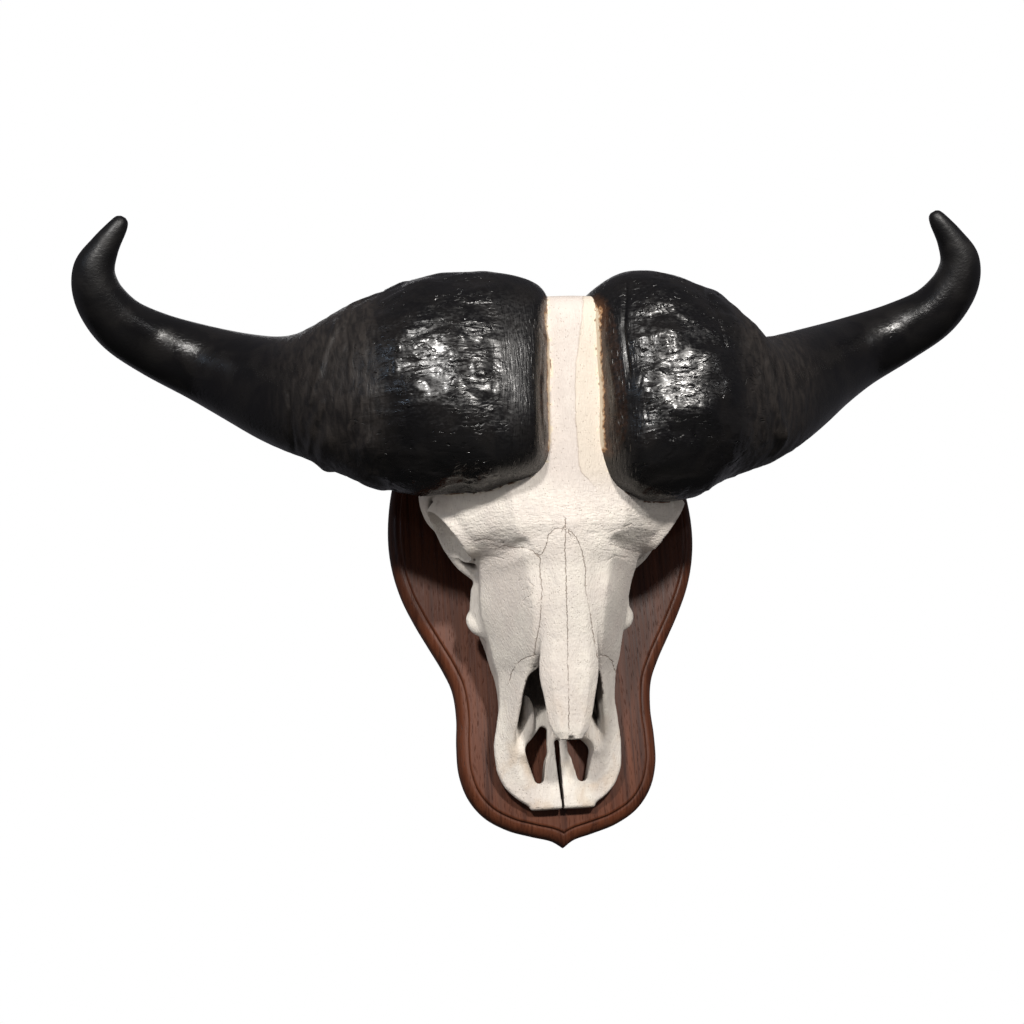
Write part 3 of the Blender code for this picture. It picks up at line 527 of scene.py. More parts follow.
def keep_largest_body(mesh):
    """Only the largest connected body stays, so no crumb of bone is left loose."""
    work = bmesh.new()
    work.from_mesh(mesh)
    unseen = set(work.verts)
    bodies = []
    while unseen:
        stack = [unseen.pop()]
        body = list(stack)
        while stack:
            for edge in stack.pop().link_edges:
                for vertex in edge.verts:
                    if vertex in unseen:
                        unseen.remove(vertex)
                        stack.append(vertex)
                        body.append(vertex)
        bodies.append(body)
    largest = max(bodies, key=len)
    for body in bodies:
        if body is not largest:
            bmesh.ops.delete(work, geom=body, context="VERTS")
    bmesh.ops.recalc_face_normals(work, faces=work.faces[:])
    work.to_mesh(mesh)
    work.free()


def add_piece(name, mesh):
    piece = bpy.data.objects.new(name, mesh)
    bpy.context.scene.collection.objects.link(piece)
    return piece


def applied(piece):
    """Makes what the modifiers of a piece show into its own mesh."""
    shown = piece.evaluated_get(bpy.context.evaluated_depsgraph_get())
    mesh = bpy.data.meshes.new_from_object(shown)
    mesh.name = piece.name
    piece.modifiers.clear()
    piece.data = mesh
    return piece


BONE_TRIANGLES = 190000
# Two thin leaves of bone rise from the floor of the nose, each an ellipsoid: centre, half length,
# radius and axis.
LEAVES = (((29, 30, -157), 20, 6, (0.05, 0.1, 1)), ((31, 30, -152), 16, 5, (0.1, 0.1, 1)))
bone = bone_field(BONE_CELL)
for leaf in LEAVES:
    bone.add(spheroid(*leaf), 3)
# Under the tips of the nose bones the two gaps in the floor reach a little further up.
bone.cut(prism(((21, -191), (14, -172)), (11.0, 4.5), 60), 2)
skull = add_piece("bone_of_skull", mesh_of_field("bone_of_skull", bone))
keep_largest_body(skull.data)
thin = skull.modifiers.new("thin", "DECIMATE")
thin.use_collapse_triangulate = True
thin.ratio = min(1.0, BONE_TRIANGLES / (2 * len(skull.data.polygons)))
applied(skull)
upper_jaw = skull.vertex_groups.new(name="upper_jaw")
for vertex in skull.data.vertices:
    x, y, z = vertex.co / MM
    weight = min(1, max(0, (z + 140) / 30)) * min(1, max(0, (4 - z) / 20)) * min(1, max(0, (-y - 75) / 15))
    if weight > 0 and vertex.normal.y < -0.15:
        upper_jaw.add([vertex.index], weight, "REPLACE")
soften = skull.modifiers.new("soften", "SMOOTH")
soften.vertex_group = "upper_jaw"
soften.factor = 0.6
soften.iterations = 30
applied(skull)
print("bone triangles", len(skull.data.polygons))

# %% [markdown]
# ## Noise for the fine relief
#
# Nothing that grew is smooth. A texture could draw the roughness, but real bumps change the
# outline and catch light properly, so the vertices themselves are moved. The noise below gives
# every whole point of a grid a random value from its own coordinates, the same in every run, and
# blends between them. The size of its bumps may differ by axis, which stretches them into grain.

# %% Repeatable noise for moving vertices
def grid_value(i, j, k, seed):
    """A repeatable random value from 0 to 1 for each whole point of a grid."""
    mixed = (
        i.astype(np.uint64) * np.uint64(374761393)
        + j.astype(np.uint64) * np.uint64(668265263)
        + k.astype(np.uint64) * np.uint64(2246822519)
        + np.uint64(seed * 3266489917 % 2**32)
    ) & np.uint64(0xFFFFFFFF)
    mixed = ((mixed ^ (mixed >> np.uint64(15))) * np.uint64(2246822519)) & np.uint64(0xFFFFFFFF)
    mixed = ((mixed ^ (mixed >> np.uint64(13))) * np.uint64(3266489917)) & np.uint64(0xFFFFFFFF)
    return (mixed ^ (mixed >> np.uint64(16))).astype(float) / 0xFFFFFFFF


def noise(points, size, seed):
    """Smooth random values from -1 to 1 whose bumps have this size, in the unit of the points."""
    placed = points / np.asarray(size, float) + 1000.0
    cell = np.floor(placed).astype(np.int64)
    part = placed - cell
    part = part * part * (3 - 2 * part)
    total = np.zeros(len(points))
    for corner in product((0, 1), repeat=3):
        weight = np.prod(np.where(corner, part, 1 - part), axis=1)
        total += weight * grid_value(*(cell + corner).T, seed)
    return 2 * total - 1


def layered_noise(points, size, seed, layers=3):
    total, strength = 0.0, 1.0
    for layer in range(layers):
        total = total + strength * noise(points, np.asarray(size, float) / 2**layer, seed + 17 * layer)
        strength *= 0.5
    return total / 1.75


def ease(low, high, value):
    """Nought below low and one above high, with a smooth rise between."""
    t = np.clip((value - low) / (high - low), 0, 1)
    return t * t * (3 - 2 * t)


def vertex_places(mesh):
    flat = np.empty(3 * len(mesh.vertices))
    mesh.vertices.foreach_get("co", flat)
    return flat.reshape(-1, 3)


def vertex_normals(mesh):
    flat = np.empty(3 * len(mesh.vertices))
    mesh.vertices.foreach_get("normal", flat)
    return flat.reshape(-1, 3)


def move_vertices(mesh, places):
    mesh.vertices.foreach_set("co", places.ravel())
    mesh.update()


def store(mesh, name, values):
    """Keeps one number for each vertex under a name, for the material to read."""
    layer = mesh.attributes.new(name, "FLOAT", "POINT")
    layer.data.foreach_set("value", np.asarray(values, np.float32))


trial = noise(np.random.default_rng(1).random((2000, 3)) * 100, 7, 3)
print("noise from", round(trial.min(), 2), "to", round(trial.max(), 2))

# %% [markdown]
# ## Sutures and fine relief of the bone
#
# The bones of the skull meet at sutures: thin, dark, wandering lines. They are far thinner than
# the triangles of the mesh, so they can't be cut into it. What survives on a coarse mesh is a
# smoothly changing number, so each vertex stores its distance to the nearest suture, with a sign
# for the side it is on. The material draws the line where that number passes through nought.
#
# The distance field has one more use. On open bone, a step out of the surface leads just as far
# from it. In a hollow it leads to another wall, so the field shows less. The difference tells how
# hidden each vertex is, and there the bone is darkened with painted shade.
#
# The lines are given as they are seen in the picture's frame of 1024 by 1024, because that is
# where they can be traced. Each vertex is looked up in the same frame.

# %% How deep in a hollow a point lies
def field_at(bone, points):
    """The distance field, read at points of the finished skull in millimetres."""
    x, y, z = points.T
    depth = -y - BOARD_THICKNESS / MM
    x = askew(x, depth, z, -1)
    index = np.rint((np.stack([abs(x), depth, z], axis=1) - BONE_LOW) / bone.cell).astype(int)
    return bone.value[tuple(np.clip(index, 0, np.array(bone.value.shape) - 1).T)]


def hollow_share(bone, points, normals):
    """Nought on an open surface and about one deep in a hollow, from steps taken straight out."""
    total = np.zeros(len(points))
    steps = (5, 10, 18, 28)
    for step in steps:
        total += np.clip((step - field_at(bone, points + step * normals)) / step, 0, 1.5)
    return total / len(steps)


# %% Where a point is seen in the picture's frame
FRAME_PIXELS = 1024
FOCAL_PIXELS = LENS_MM / SENSOR_MM * FRAME_PIXELS


def seen_place(points):
    """Pixel coordinates of points in the picture's frame, from its upper left corner."""
    from_camera = points - np.array(CAMERA_PLACE)
    far = from_camera @ np.array(ahead)
    across = FRAME_PIXELS / 2 + FOCAL_PIXELS * (from_camera @ np.array(to_right)) / far
    down = FRAME_PIXELS / 2 - FOCAL_PIXELS * (from_camera @ np.array(to_top)) / far
    return np.stack([across, down], axis=1)


def line_distance(places, line):
    """Signed distance from each place to a line of points, positive on its right hand side."""
    nearest = np.full(len(places), 1e9)
    signed = np.full(len(places), 1e9)
    for start, end in zip(np.array(line[:-1], float), np.array(line[1:], float)):
        run = end - start
        offset = places - start
        t = np.clip(offset @ run / (run @ run), 0, 1)
        gap = offset - t[:, None] * run
        distance = np.hypot(gap[:, 0], gap[:, 1])
        side = np.sign(run[0] * offset[:, 1] - run[1] * offset[:, 0])
        closer = distance < nearest
        nearest = np.where(closer, distance, nearest)
        signed = np.where(closer, distance * side, signed)
    return nearest, signed


# %% The sutures, traced in the picture's frame
SUTURES = (
    ((565, 519), (566, 528), (554, 529), (548.6, 535), (546, 545), (543, 552), (540.4, 558),
     (539.4, 568), (541, 581), (542, 591), (541, 607), (539.8, 623), (536.5, 640), (534, 656)),
    ((566, 528), (574.7, 535), (579, 543.5), (583, 555), (585.5, 568), (585.5, 588), (588, 601),
     (591, 617), (593.3, 633), (596, 650), (597.6, 657)),
    ((566, 528), (565, 545), (565.6, 568), (566.5, 600), (567.5, 633), (568, 666), (569, 720), (569, 737)),
    ((497, 549), (505, 546), (514, 548), (524, 547.5), (533, 551), (539, 557)),
    ((534, 656), (524, 658), (516, 664), (511, 674), (508, 685)),
    ((597.6, 656), (605.7, 655.5), (612, 661), (615.5, 672)),
)
# Edge of a painted shadow of the right boss: the strip of bone is painted yellower to the right of this line,
# with a darker line along it.
BOSS_SHADOW_EDGE = ((584, 285), (583, 305), (579, 340), (575, 371), (576, 420), (580, 470), (600, 492))
# Fainter wrinkles on the brow and the upper jaw.
WRINKLES = (
    ((476, 541), (485, 539), (493, 541), (502, 544)),
    ((482, 547), (492, 545), (503, 549)),
    ((470, 556), (480, 558), (492, 556), (503, 559)),
    ((516, 584), (521, 579), (528, 580), (533, 586), (532, 594), (526, 598), (521, 603), (524, 610),
     (531, 608)),
    ((523, 590), (527, 588), (528, 592)),
    ((609, 533), (616, 529), (624, 528), (632, 524)),
    ((612, 545), (622, 548), (634, 552), (646, 553)),
    ((607, 560), (616, 556), (626, 558)),
)
# Small holes where nerves and vessels came out: place and radius.
HOLES = (
    (503, 543, 1.7), (474, 561, 2.0), (535, 655, 1.3), (535.5, 667, 1.2), (628, 533, 1.0), (597.5, 668, 1.0),
)
NO_LINE = 99.0
BOSS_SHADOW_LIMIT = 40

# %% Move and mark the vertices of the bone
places = vertex_places(skull.data)
normals = vertex_normals(skull.data)
millimetres = places / MM
height = millimetres[:, 2]
faces_front = ease(0.05, 0.35, normals @ -np.array(ahead))
traced = faces_front > 0.1
frame_places = seen_place(places)
nearest = np.full(len(places), NO_LINE)
signed = np.full(len(places), NO_LINE)
for line in SUTURES:
    distance, with_side = line_distance(frame_places, line)
    closer = distance < nearest
    nearest = np.where(closer, distance, nearest)
    signed = np.where(closer, with_side, signed)
nearest = np.where(traced, nearest, NO_LINE)
wrinkle_gap = np.min([line_distance(frame_places, line)[0] for line in WRINKLES], axis=0)
wrinkle_gap = np.where(traced, np.minimum(wrinkle_gap, NO_LINE), NO_LINE)
hole = np.zeros(len(places))
for x, y, size in HOLES:
    gap = np.hypot(frame_places[:, 0] - x, frame_places[:, 1] - y)
    hole = np.maximum(hole, faces_front * np.exp(-((gap / size) ** 2)))

swell = 0.45 * layered_noise(millimetres, 26, 5)
uneven = 0.16 * layered_noise(millimetres, 5, 11)
brow = ease(-32, -8, height) * ease(46, 24, height) * faces_front
patches = ease(-0.15, 0.35, noise(millimetres, 22, 27))
brow_ripple = 0.9 * brow * patches * np.abs(layered_noise(millimetres, (11, 11, 3.6), 23))
strip = ease(30, 60, height) * faces_front
strip_grain = 0.25 * strip * layered_noise(millimetres, (3, 6, 14), 31)
boss_shadow_side = np.where(traced, line_distance(frame_places, BOSS_SHADOW_EDGE)[1], BOSS_SHADOW_LIMIT)
groove = 0.30 * np.exp(-((nearest / 1.3) ** 2)) + 0.15 * np.exp(-((wrinkle_gap / 1.4) ** 2)) + 1.2 * hole
lift = swell + uneven - brow_ripple + strip_grain - groove
move_vertices(skull.data, places + normals * lift[:, None] * MM)


def distance_to(shapes):
    """Distance in millimetres from each vertex of the bone, as it was, to some of its shapes."""
    field = BoneField(BONE_CELL)
    for shape in shapes:
        field.add(shape, 1)
    return field_at(field, millimetres)


# Painted shade: the hollow of the nose is painted dark all over, but for its leaves and the nose bones that
# roof it.
painted_nose_shade = ease(0.6, 2.2, distance_to([spheroid(*leaf) for leaf in LEAVES]))
painted_nose_shade *= ease(3.2, 1.2, distance_to([loft(NASAL_CAVITY, 2)]))
painted_nose_shade *= ease(1.0, 3.0, distance_to([loft(NASALS, 2)])) * ease(-160, -142, height)
# Painted shade: how far each vertex lies in a hollow, a small hole or the nose, for the bone to be painted
# dark there.
shade_in_hollows = np.maximum(hollow_share(bone, millimetres, normals), np.maximum(hole, painted_nose_shade))
for name, values in {
    "shade_in_hollows": shade_in_hollows, "strip": strip, "brow": brow, "boss_shadow_side": np.clip(boss_shadow_side, -BOSS_SHADOW_LIMIT, BOSS_SHADOW_LIMIT),
    "wrinkle_gap": wrinkle_gap, "suture_side": signed, "suture_gap": nearest,
}.items():
    store(skull.data, name, values)
bone_only = bpy.data.collections.new("bone_only")
bone_only.objects.link(skull)
for lamp in bone_fills:
    lamp.light_linking.receiver_collection = bone_only
print("bone moved by up to", round(float(np.abs(lift).max()), 2), "mm")

# %% [markdown]
# ## Horns
#
# Each horn is a loft: rings set along a curve, from the flat inner end of the boss, over the
# swelling forehead, out and down along the neck and up to the tip. The stations give each ring's
# centre, its half height, how far it reaches to the front and back, how square it is, and how
# it leans. The two horns aren't twins, so the left and right ones differ a little.

# %% Stations of a horn
# Centre (x, y, z), half height, depth in front and behind, all in metres, then squareness and lean.
HORN_STATIONS = (
    ((0.0205, -0.2050, 0.1470), 0.0670, 0.0340, 0.0200, 3.0, -0.05),
    ((0.0232, -0.2040, 0.1471), 0.0830, 0.0450, 0.0340, 3.0, -0.05),
    ((0.0325, -0.2010, 0.1473), 0.0970, 0.0560, 0.0480, 2.9, -0.05),
    ((0.0540, -0.1960, 0.1470), 0.1100, 0.0680, 0.0580, 2.7, -0.05),
    ((0.0800, -0.1890, 0.1465), 0.1155, 0.0790, 0.0630, 2.5, -0.05),
    ((0.1120, -0.1780, 0.1470), 0.1160, 0.0870, 0.0640, 2.35, -0.05),
    ((0.1480, -0.1640, 0.1500), 0.1075, 0.0860, 0.0640, 2.25, -0.04),
    ((0.1800, -0.1490, 0.1530), 0.0955, 0.0800, 0.0620, 2.15, -0.02),
    ((0.2120, -0.1320, 0.1580), 0.0805, 0.0700, 0.0590, 2.05, 0.0),
    ((0.2420, -0.1160, 0.1670), 0.0668, 0.0600, 0.0550, 2.0, 0.0),
    ((0.2730, -0.1000, 0.1810), 0.0565, 0.0530, 0.0510, 2.0, 0.0),
    ((0.3100, -0.0850, 0.2010), 0.0475, 0.0470, 0.0460, 2.0, 0.0),
    ((0.3520, -0.0770, 0.2220), 0.0400, 0.0400, 0.0400, 2.0, 0.0),
    ((0.4000, -0.0880, 0.2400), 0.0335, 0.0335, 0.0335, 2.0, 0.0),
    ((0.4320, -0.1120, 0.2530), 0.0290, 0.0290, 0.0290, 2.0, 0.0),
    ((0.4500, -0.1340, 0.2740), 0.0248, 0.0248, 0.0248, 2.0, 0.0),
    ((0.4520, -0.1500, 0.2960), 0.0203, 0.0203, 0.0203, 2.0, 0.0),
    ((0.4400, -0.1610, 0.3160), 0.0140, 0.0140, 0.0140, 2.0, 0.0),
    ((0.4270, -0.1680, 0.3330), 0.0095, 0.0095, 0.0095, 2.0, 0.0),
    ((0.4225, -0.1700, 0.3400), 0.0066, 0.0066, 0.0066, 2.0, 0.0),
    ((0.4212, -0.1706, 0.3425), 0.0030, 0.0030, 0.0030, 2.0, 0.0),
)
# How the two horns differ: the strip of bone between them lies to the right of the mid plane, the
# left boss ends higher over the eye, and the neck of the right horn lies lower and is slimmer.
STRIP_SHIFT = 0.0130
STRIP_REACH = 0.030
BOSS_LIFT = 0.0065
BOSS_X = 0.090
BOSS_REACH = 0.060
NECK_DROP = 0.0080
NECK_SLIM = 0.13
NECK_X = 0.205
NECK_REACH = 0.055
RING_STEP = 0.0018
RING_POINTS = 250
CAP_RINGS = 10
DIRECTION_REACH = 0.030


def signed_power(value, power):
    """A power that keeps the sign, which turns a circle into a rounded square."""
    return np.sign(value) * np.abs(value) ** power


def horn_rings(side):
    """Centre, size and direction of evenly spaced rings, read from curves through the stations."""
    dense = spline([(*centre, *section) for centre, *section in HORN_STATIONS], 30)
    steps = np.diff(dense[:, :6], axis=0)
    run = np.concatenate([[0], np.cumsum(np.linalg.norm(steps, axis=1))])
    count = int(run[-1] / RING_STEP)
    wanted = np.linspace(0, run[-1], count)
    rings = np.stack([np.interp(wanted, run, column) for column in dense.T], axis=1)
    near_strip = np.exp(-((rings[:, 0] - rings[0, 0]) / STRIP_REACH) ** 2)
    near_neck = np.exp(-(((rings[:, 0] - NECK_X) / NECK_REACH) ** 2))
    rings[:, 0] += side * STRIP_SHIFT * near_strip
    rings[:, 2] -= side * NECK_DROP * near_neck
    near_boss = np.exp(-(((rings[:, 0] - BOSS_X) / BOSS_REACH) ** 2))
    if side > 0:
        rings[:, 3:6] *= 1 - NECK_SLIM * near_neck[:, None]
    else:
        rings[:, 2] += BOSS_LIFT * near_boss
        rings[:, 3] -= BOSS_LIFT * near_boss
    tangents = np.gradient(rings[:, :3], axis=0)
    tangents /= np.linalg.norm(tangents, axis=1)[:, None]
    reach = int(DIRECTION_REACH / RING_STEP)
    window = np.hanning(2 * reach + 3)[1:-1]
    padded = np.pad(tangents, ((reach, reach), (0, 0)), mode="edge")
    tangents = np.stack([np.convolve(column, window / window.sum(), "valid") for column in padded.T], axis=1)
    tangents /= np.linalg.norm(tangents, axis=1)[:, None]
    return rings, tangents, wanted


# %% Surface of a horn before its relief
def horn_surface(side):
    """Grid of points, ring by ring, and for each the run along the horn in metres."""
    rings, tangents, run = horn_rings(side)
    turn = np.linspace(0, 2 * math.pi, RING_POINTS, endpoint=False)
    grid = []
    for row, tangent in zip(rings, tangents):
        centre, height, front, back, power, lean = row[:3], *row[3:]
        out = np.array([0, -1.0, 0]) + tangent[1] * tangent
        out /= np.linalg.norm(out)
        up = np.cross(out, tangent)
        rise = height * signed_power(np.sin(turn), 2 / power)
        reach = signed_power(np.cos(turn), 2 / power)
        reach = np.where(reach > 0, front, back) * reach + rise * math.sin(lean)
        grid.append(centre + rise[:, None] * up + reach[:, None] * out)
    shrink = np.linspace(0.04, 1, CAP_RINGS, endpoint=False)
    cap = [rings[0, :3] + (grid[0] - rings[0, :3]) * size for size in shrink]
    grid = np.array([*cap, *grid])
    grid[..., 0] *= side
    run = np.concatenate([np.zeros(CAP_RINGS), run])
    return grid, np.repeat(run[:, None], RING_POINTS, axis=1)


def grid_normals(grid):
    """Directions out of a grid that closes on itself from ring to ring."""
    along = np.gradient(grid, axis=0)
    round_it = np.roll(grid, -1, axis=1) - np.roll(grid, 1, axis=1)
    normals = np.cross(along, round_it)
    return normals / np.maximum(np.linalg.norm(normals, axis=2, keepdims=True), 1e-12)


def closed_grid_mesh(name, grid):
    rings, around = grid.shape[:2]
    index = np.arange(rings * around).reshape(rings, around)
    ahead_index = np.roll(index, -1, axis=1)
    quads = np.stack([index[:-1], ahead_index[:-1], ahead_index[1:], index[1:]], axis=-1).reshape(-1, 4)
    faces = [*quads.tolist(), index[0].tolist(), index[-1].tolist()]
    mesh = bpy.data.meshes.new(name)
    mesh.from_pydata(grid.reshape(-1, 3).tolist(), [], faces)
    work = bmesh.new()
    work.from_mesh(mesh)
    bmesh.ops.recalc_face_normals(work, faces=work.faces[:])
    work.to_mesh(mesh)
    work.free()
    mesh.shade_smooth()
    return mesh


# %% [markdown]
# ## Relief of the horns
#
# Horn grows in layers. On the old, weathered boss the layers break up: seams run up and down next
# to the strip of bone, flakes overlap further out, and short level cracks cut through them. The
# neck has growth lines. The free horn has been rubbed smooth and polished. Each kind of relief is
# noise with its own size and a mask that says where it belongs. Flakes come from taking noise in
# steps: the height climbs slowly and drops at once, like the edge of a flake. Cracks lie where
# another noise crosses nought.

# %% Relief in millimetres
def horn_relief(points, run, seed):
    """How far each point stands out in millimetres, and how far it is in each zone of the horn."""
    across = np.abs(points[:, 0])
    boss = ease(240, 165, across)
    medial = ease(78, 48, across)
    neck = ease(160, 190, across) * ease(300, 235, across)
    bent = points + 5 * np.stack([noise(points, 24, seed + shift) for shift in (1, 2, 3)], axis=1)
    waves = layered_noise(points, 62, seed + 29, 2)
    lumps = noise(bent, (34, 34, 24), seed + 9)
    flakes = 1.3 * noise(bent, (34, 26, 9), seed + 11)
    flakes = (flakes - np.floor(flakes)) ** 3 * ease(-0.1, 0.4, noise(points, 45, seed + 12))
    cracks = ease(0.05, 0.0, np.abs(noise(bent, (40, 40, 8), seed + 21)))
    cracks *= ease(0.0, 0.35, noise(points, 24, seed + 22))
    seams = ease(0.05, 0.0, np.abs(noise(bent, (13, 60, 70), seed + 25)))
    seams *= ease(-0.1, 0.3, noise(points, 40, seed + 26))
    growth = np.sin(run / MM / 2.6 + 2.6 * noise(points, 30, seed + 33)) * noise(points, 25, seed + 35)
    folds = ease(0.0, 0.5, noise(bent, (26, 26, 15), seed + 15))
    folds *= ease(0.1, -0.2, noise(points, 50, seed + 16))
    lift = boss * (1 - medial) * (1.0 * flakes - 1.1 * cracks + 1.3 * folds)
    lift += boss * (2.6 * lumps * (1 - 0.6 * medial) - 0.6 * seams)
    lift += neck * (0.35 * growth + 0.5 * layered_noise(bent, (9, 14, 14), seed + 39))
    lift += 0.8 * boss * (1 - medial) * noise(bent, (16, 16, 10), seed + 18)
    lift += (0.3 + 1.3 * boss) * waves
    lift += 2.4 * ease(18, 5, run / MM) * (0.5 + 0.5 * noise(points, 15, seed + 45))
    return lift, {"boss": boss, "neck": neck, "medial": medial, "from_edge": run / MM}


# %% Build both horns
# Old scars and creases, in the picture's frame.
CREASES = (
    ((288, 392), (290, 420), (294, 452)),
    ((475, 278), (470, 300), (463, 318)),
    ((700, 275), (716, 310), (728, 350)),
    ((626, 284), (624, 330), (629, 372)),
    ((352, 300), (345, 330), (349, 352)),
)
# Low ridges where the boss ends and the neck begins, in the same frame.
RIDGES = (
    ((754, 326), (769, 358), (776, 392), (780, 422), (780, 442), (769, 470)),
    ((760, 372), (765, 405), (764, 440)),
    ((338, 322), (327, 350), (318, 378), (311, 402)),
    ((322, 402), (312, 428), (310, 455)),
)
# Small knobs under the neck of each side's horn: x and z, radius and height, in millimetres.
KNOBS = {-1: ((-227.5, 94.0, 9.0, 4.5), (-187.0, 80.0, 8.0, 3.5)), 1: ((221.0, 93.5, 8.0, 6.0),)}


def near_lines(places, lines, wander, width):
    """One on the nearest of some lines in the picture's frame, falling off to nought beside it."""
    gap = np.min([line_distance(places, line)[0] for line in lines], axis=0)
    return np.exp(-((np.maximum(gap + wander, 0) / width) ** 2))


def build_horn(name, side, seed):
    grid, run = horn_surface(side)
    normals = grid_normals(grid) * side
    centre = grid.mean(axis=1, keepdims=True)
    outward = np.sign((normals * (grid - centre)).sum(axis=2).mean())
    normals *= outward
    points = grid.reshape(-1, 3) / MM
    lift, zones = horn_relief(points, run.ravel(), seed)
    for x, z, size, knob_height in KNOBS[side]:
        gap = np.hypot(points[:, 0] - x, points[:, 2] - z)
        lift += knob_height * np.exp(-((gap / size) ** 2))
    to_front = ease(0.1, 0.5, normals.reshape(-1, 3) @ -np.array(ahead))
    in_frame = seen_place(points * MM)
    lift -= 2.0 * to_front * near_lines(in_frame, CREASES, 0.7 * noise(points, 8, seed + 51), 1.8)
    lift += 2.2 * to_front * near_lines(in_frame, RIDGES, 1.2 * noise(points, 14, seed + 53), 3.4)
    tip = ease(0.0, 0.05, (run.max() - run).ravel())
    moved = grid.reshape(-1, 3) + normals.reshape(-1, 3) * (lift * tip)[:, None] * MM
    mesh = closed_grid_mesh(name, moved.reshape(grid.shape))
    for zone, share in zones.items():
        store(mesh, zone, share)
    print(name, len(mesh.polygons), "faces, relief", lift.min().round(2), "to", lift.max().round(2))
    return add_piece(name, mesh)


horn_right = build_horn("sheath_of_right_horn", 1, 101)
horn_left = build_horn("sheath_of_left_horn", -1, 211)

# %% [markdown]
# ## Where horn and bone meet
#
# At the strip of bone the black sheath ends in a thin cream to orange edge of young horn, and
# the bone beside it gets a dark line of painted shade. Both are a question of distance, so each horn
# vertex stores how far it is above the bone, besides how far along the horn it lies, and each bone
# vertex how far it is from the nearest horn. A `BVHTree` answers such questions quickly.

# %% Measure the gaps between horn and bone
def surface_tree(piece):
    mesh = piece.data
    return BVHTree.FromPolygons(
        [vertex.co[:] for vertex in mesh.vertices], [polygon.vertices[:] for polygon in mesh.polygons]
    )


def gaps_to(piece, tree, limit):
    """Distance in millimetres from each vertex to a surface, up to a limit."""
    found = [tree.find_nearest(vertex.co, limit * MM)[3] for vertex in piece.data.vertices]
    return np.array([limit if gap is None else gap / MM for gap in found])


bone_tree = surface_tree(skull)
for horn in (horn_left, horn_right):
    store(horn.data, "bone_gap", gaps_to(horn, bone_tree, 18))
horn_gap = np.minimum(*[gaps_to(skull, surface_tree(horn), 14) for horn in (horn_left, horn_right)])
store(skull.data, "horn_gap", horn_gap)
print("bone vertices beside horn", int((horn_gap < 14).sum()))

# %% [markdown]
# ## Shield board
#
# The board is cut from walnut about 22 mm thick, and a router has run a moulding round its edge:
# a rounded bead, then a small step up to the flat field. One half outline and one edge profile
# are all it needs. Each profile point gives a copy of the outline, moved in by its inset.

# %% Outline and moulding of the board
# Half outline of the board from its lower point to its upper point, as (x, z) in metres.
BOARD_OUTLINE = (
    (0.000, -0.2875), (0.012, -0.2800), (0.032, -0.2745), (0.056, -0.2668), (0.079, -0.2530),
    (0.0950, -0.2325), (0.1030, -0.2070), (0.1040, -0.1790), (0.1026, -0.1500), (0.1056, -0.1220),
    (0.1150, -0.0990), (0.1280, -0.0750), (0.1420, -0.0490), (0.1545, -0.0210), (0.1628, 0.0090),
    (0.1662, 0.0400), (0.1645, 0.0740), (0.1580, 0.1080), (0.1455, 0.1420), (0.1270, 0.1760),
    (0.1010, 0.2080), (0.0700, 0.2340), (0.0380, 0.2520), (0.0140, 0.2660), (0.000, 0.2875),
)
MOULDING = (
    (0.0008, 0.0000), (0.0000, 0.0010), (0.0000, 0.0070), (0.0002, 0.0092), (0.0009, 0.0116), (0.0022, 0.0141),
    (0.0040, 0.0162), (0.0060, 0.0177), (0.0082, 0.0187), (0.0100, 0.0190), (0.0110, 0.0188), (0.0115, 0.0190),
    (0.0119, 0.0200), (0.0123, 0.0212), (0.0132, 0.0219), (0.0145, 0.0220),
)


def board_outline(inset, fineness):
    """Closed outline of the board, moved in by a distance, from its lower point round."""
    half = spline(BOARD_OUTLINE, fineness)
    outline = np.vstack([half, half[-2:0:-1] * (-1, 1)])
    forward = np.roll(outline, -1, axis=0) - outline
    forward /= np.linalg.norm(forward, axis=1)[:, None]
    backward = np.roll(forward, 1, axis=0)
    inward = np.stack([-(forward + backward)[:, 1], (forward + backward)[:, 0]], axis=1)
    inward /= np.linalg.norm(inward, axis=1)[:, None]
    edge_side = np.stack([-forward[:, 1], forward[:, 0]], axis=1)
    mitre = 1 / np.maximum((inward * edge_side).sum(1), 0.5)
    moved = outline + inward * (mitre * inset)[:, None]
    for point in (0, len(half) - 1):
        crossed = (moved[:, 0] * outline[:, 0] <= 0) & ((outline[:, 1] > 0) == (outline[point, 1] > 0))
        moved[crossed] = (0, moved[point, 1])
    return moved


def build_board():
    rings = [board_outline(inset, 12) for inset, _ in MOULDING]
    grid = np.array([[(x, -depth, z) for x, z in ring] for ring, (_, depth) in zip(rings, MOULDING)])
    mesh = closed_grid_mesh("shield_board", grid)
    return add_piece("shield_board", mesh)


board = build_board()
print("board", [round(value, 3) for value in board.dimensions])

# %% [markdown]
# ## Teeth
#
# The cheek teeth stand in two rows between the jaw and the board, where only a view from the side
# shows them. A buffalo's upper molar is a tall block with three ribs down its outer face. A wavy
# outline, stacked with eased ends, gives that with few faces.

# %% Ribbed cheek teeth
TOOTH_POINTS = 36
TOOTH_SQUARENESS = 0.55
# From the chewing end to the root: the place along the tooth, and how wide it is there.
TOOTH_PROFILE = ((-1, 0.80), (-0.97, 0.90), (-0.88, 0.98), (-0.3, 1.0), (0.5, 0.97), (0.9, 0.92), (1, 0.85))


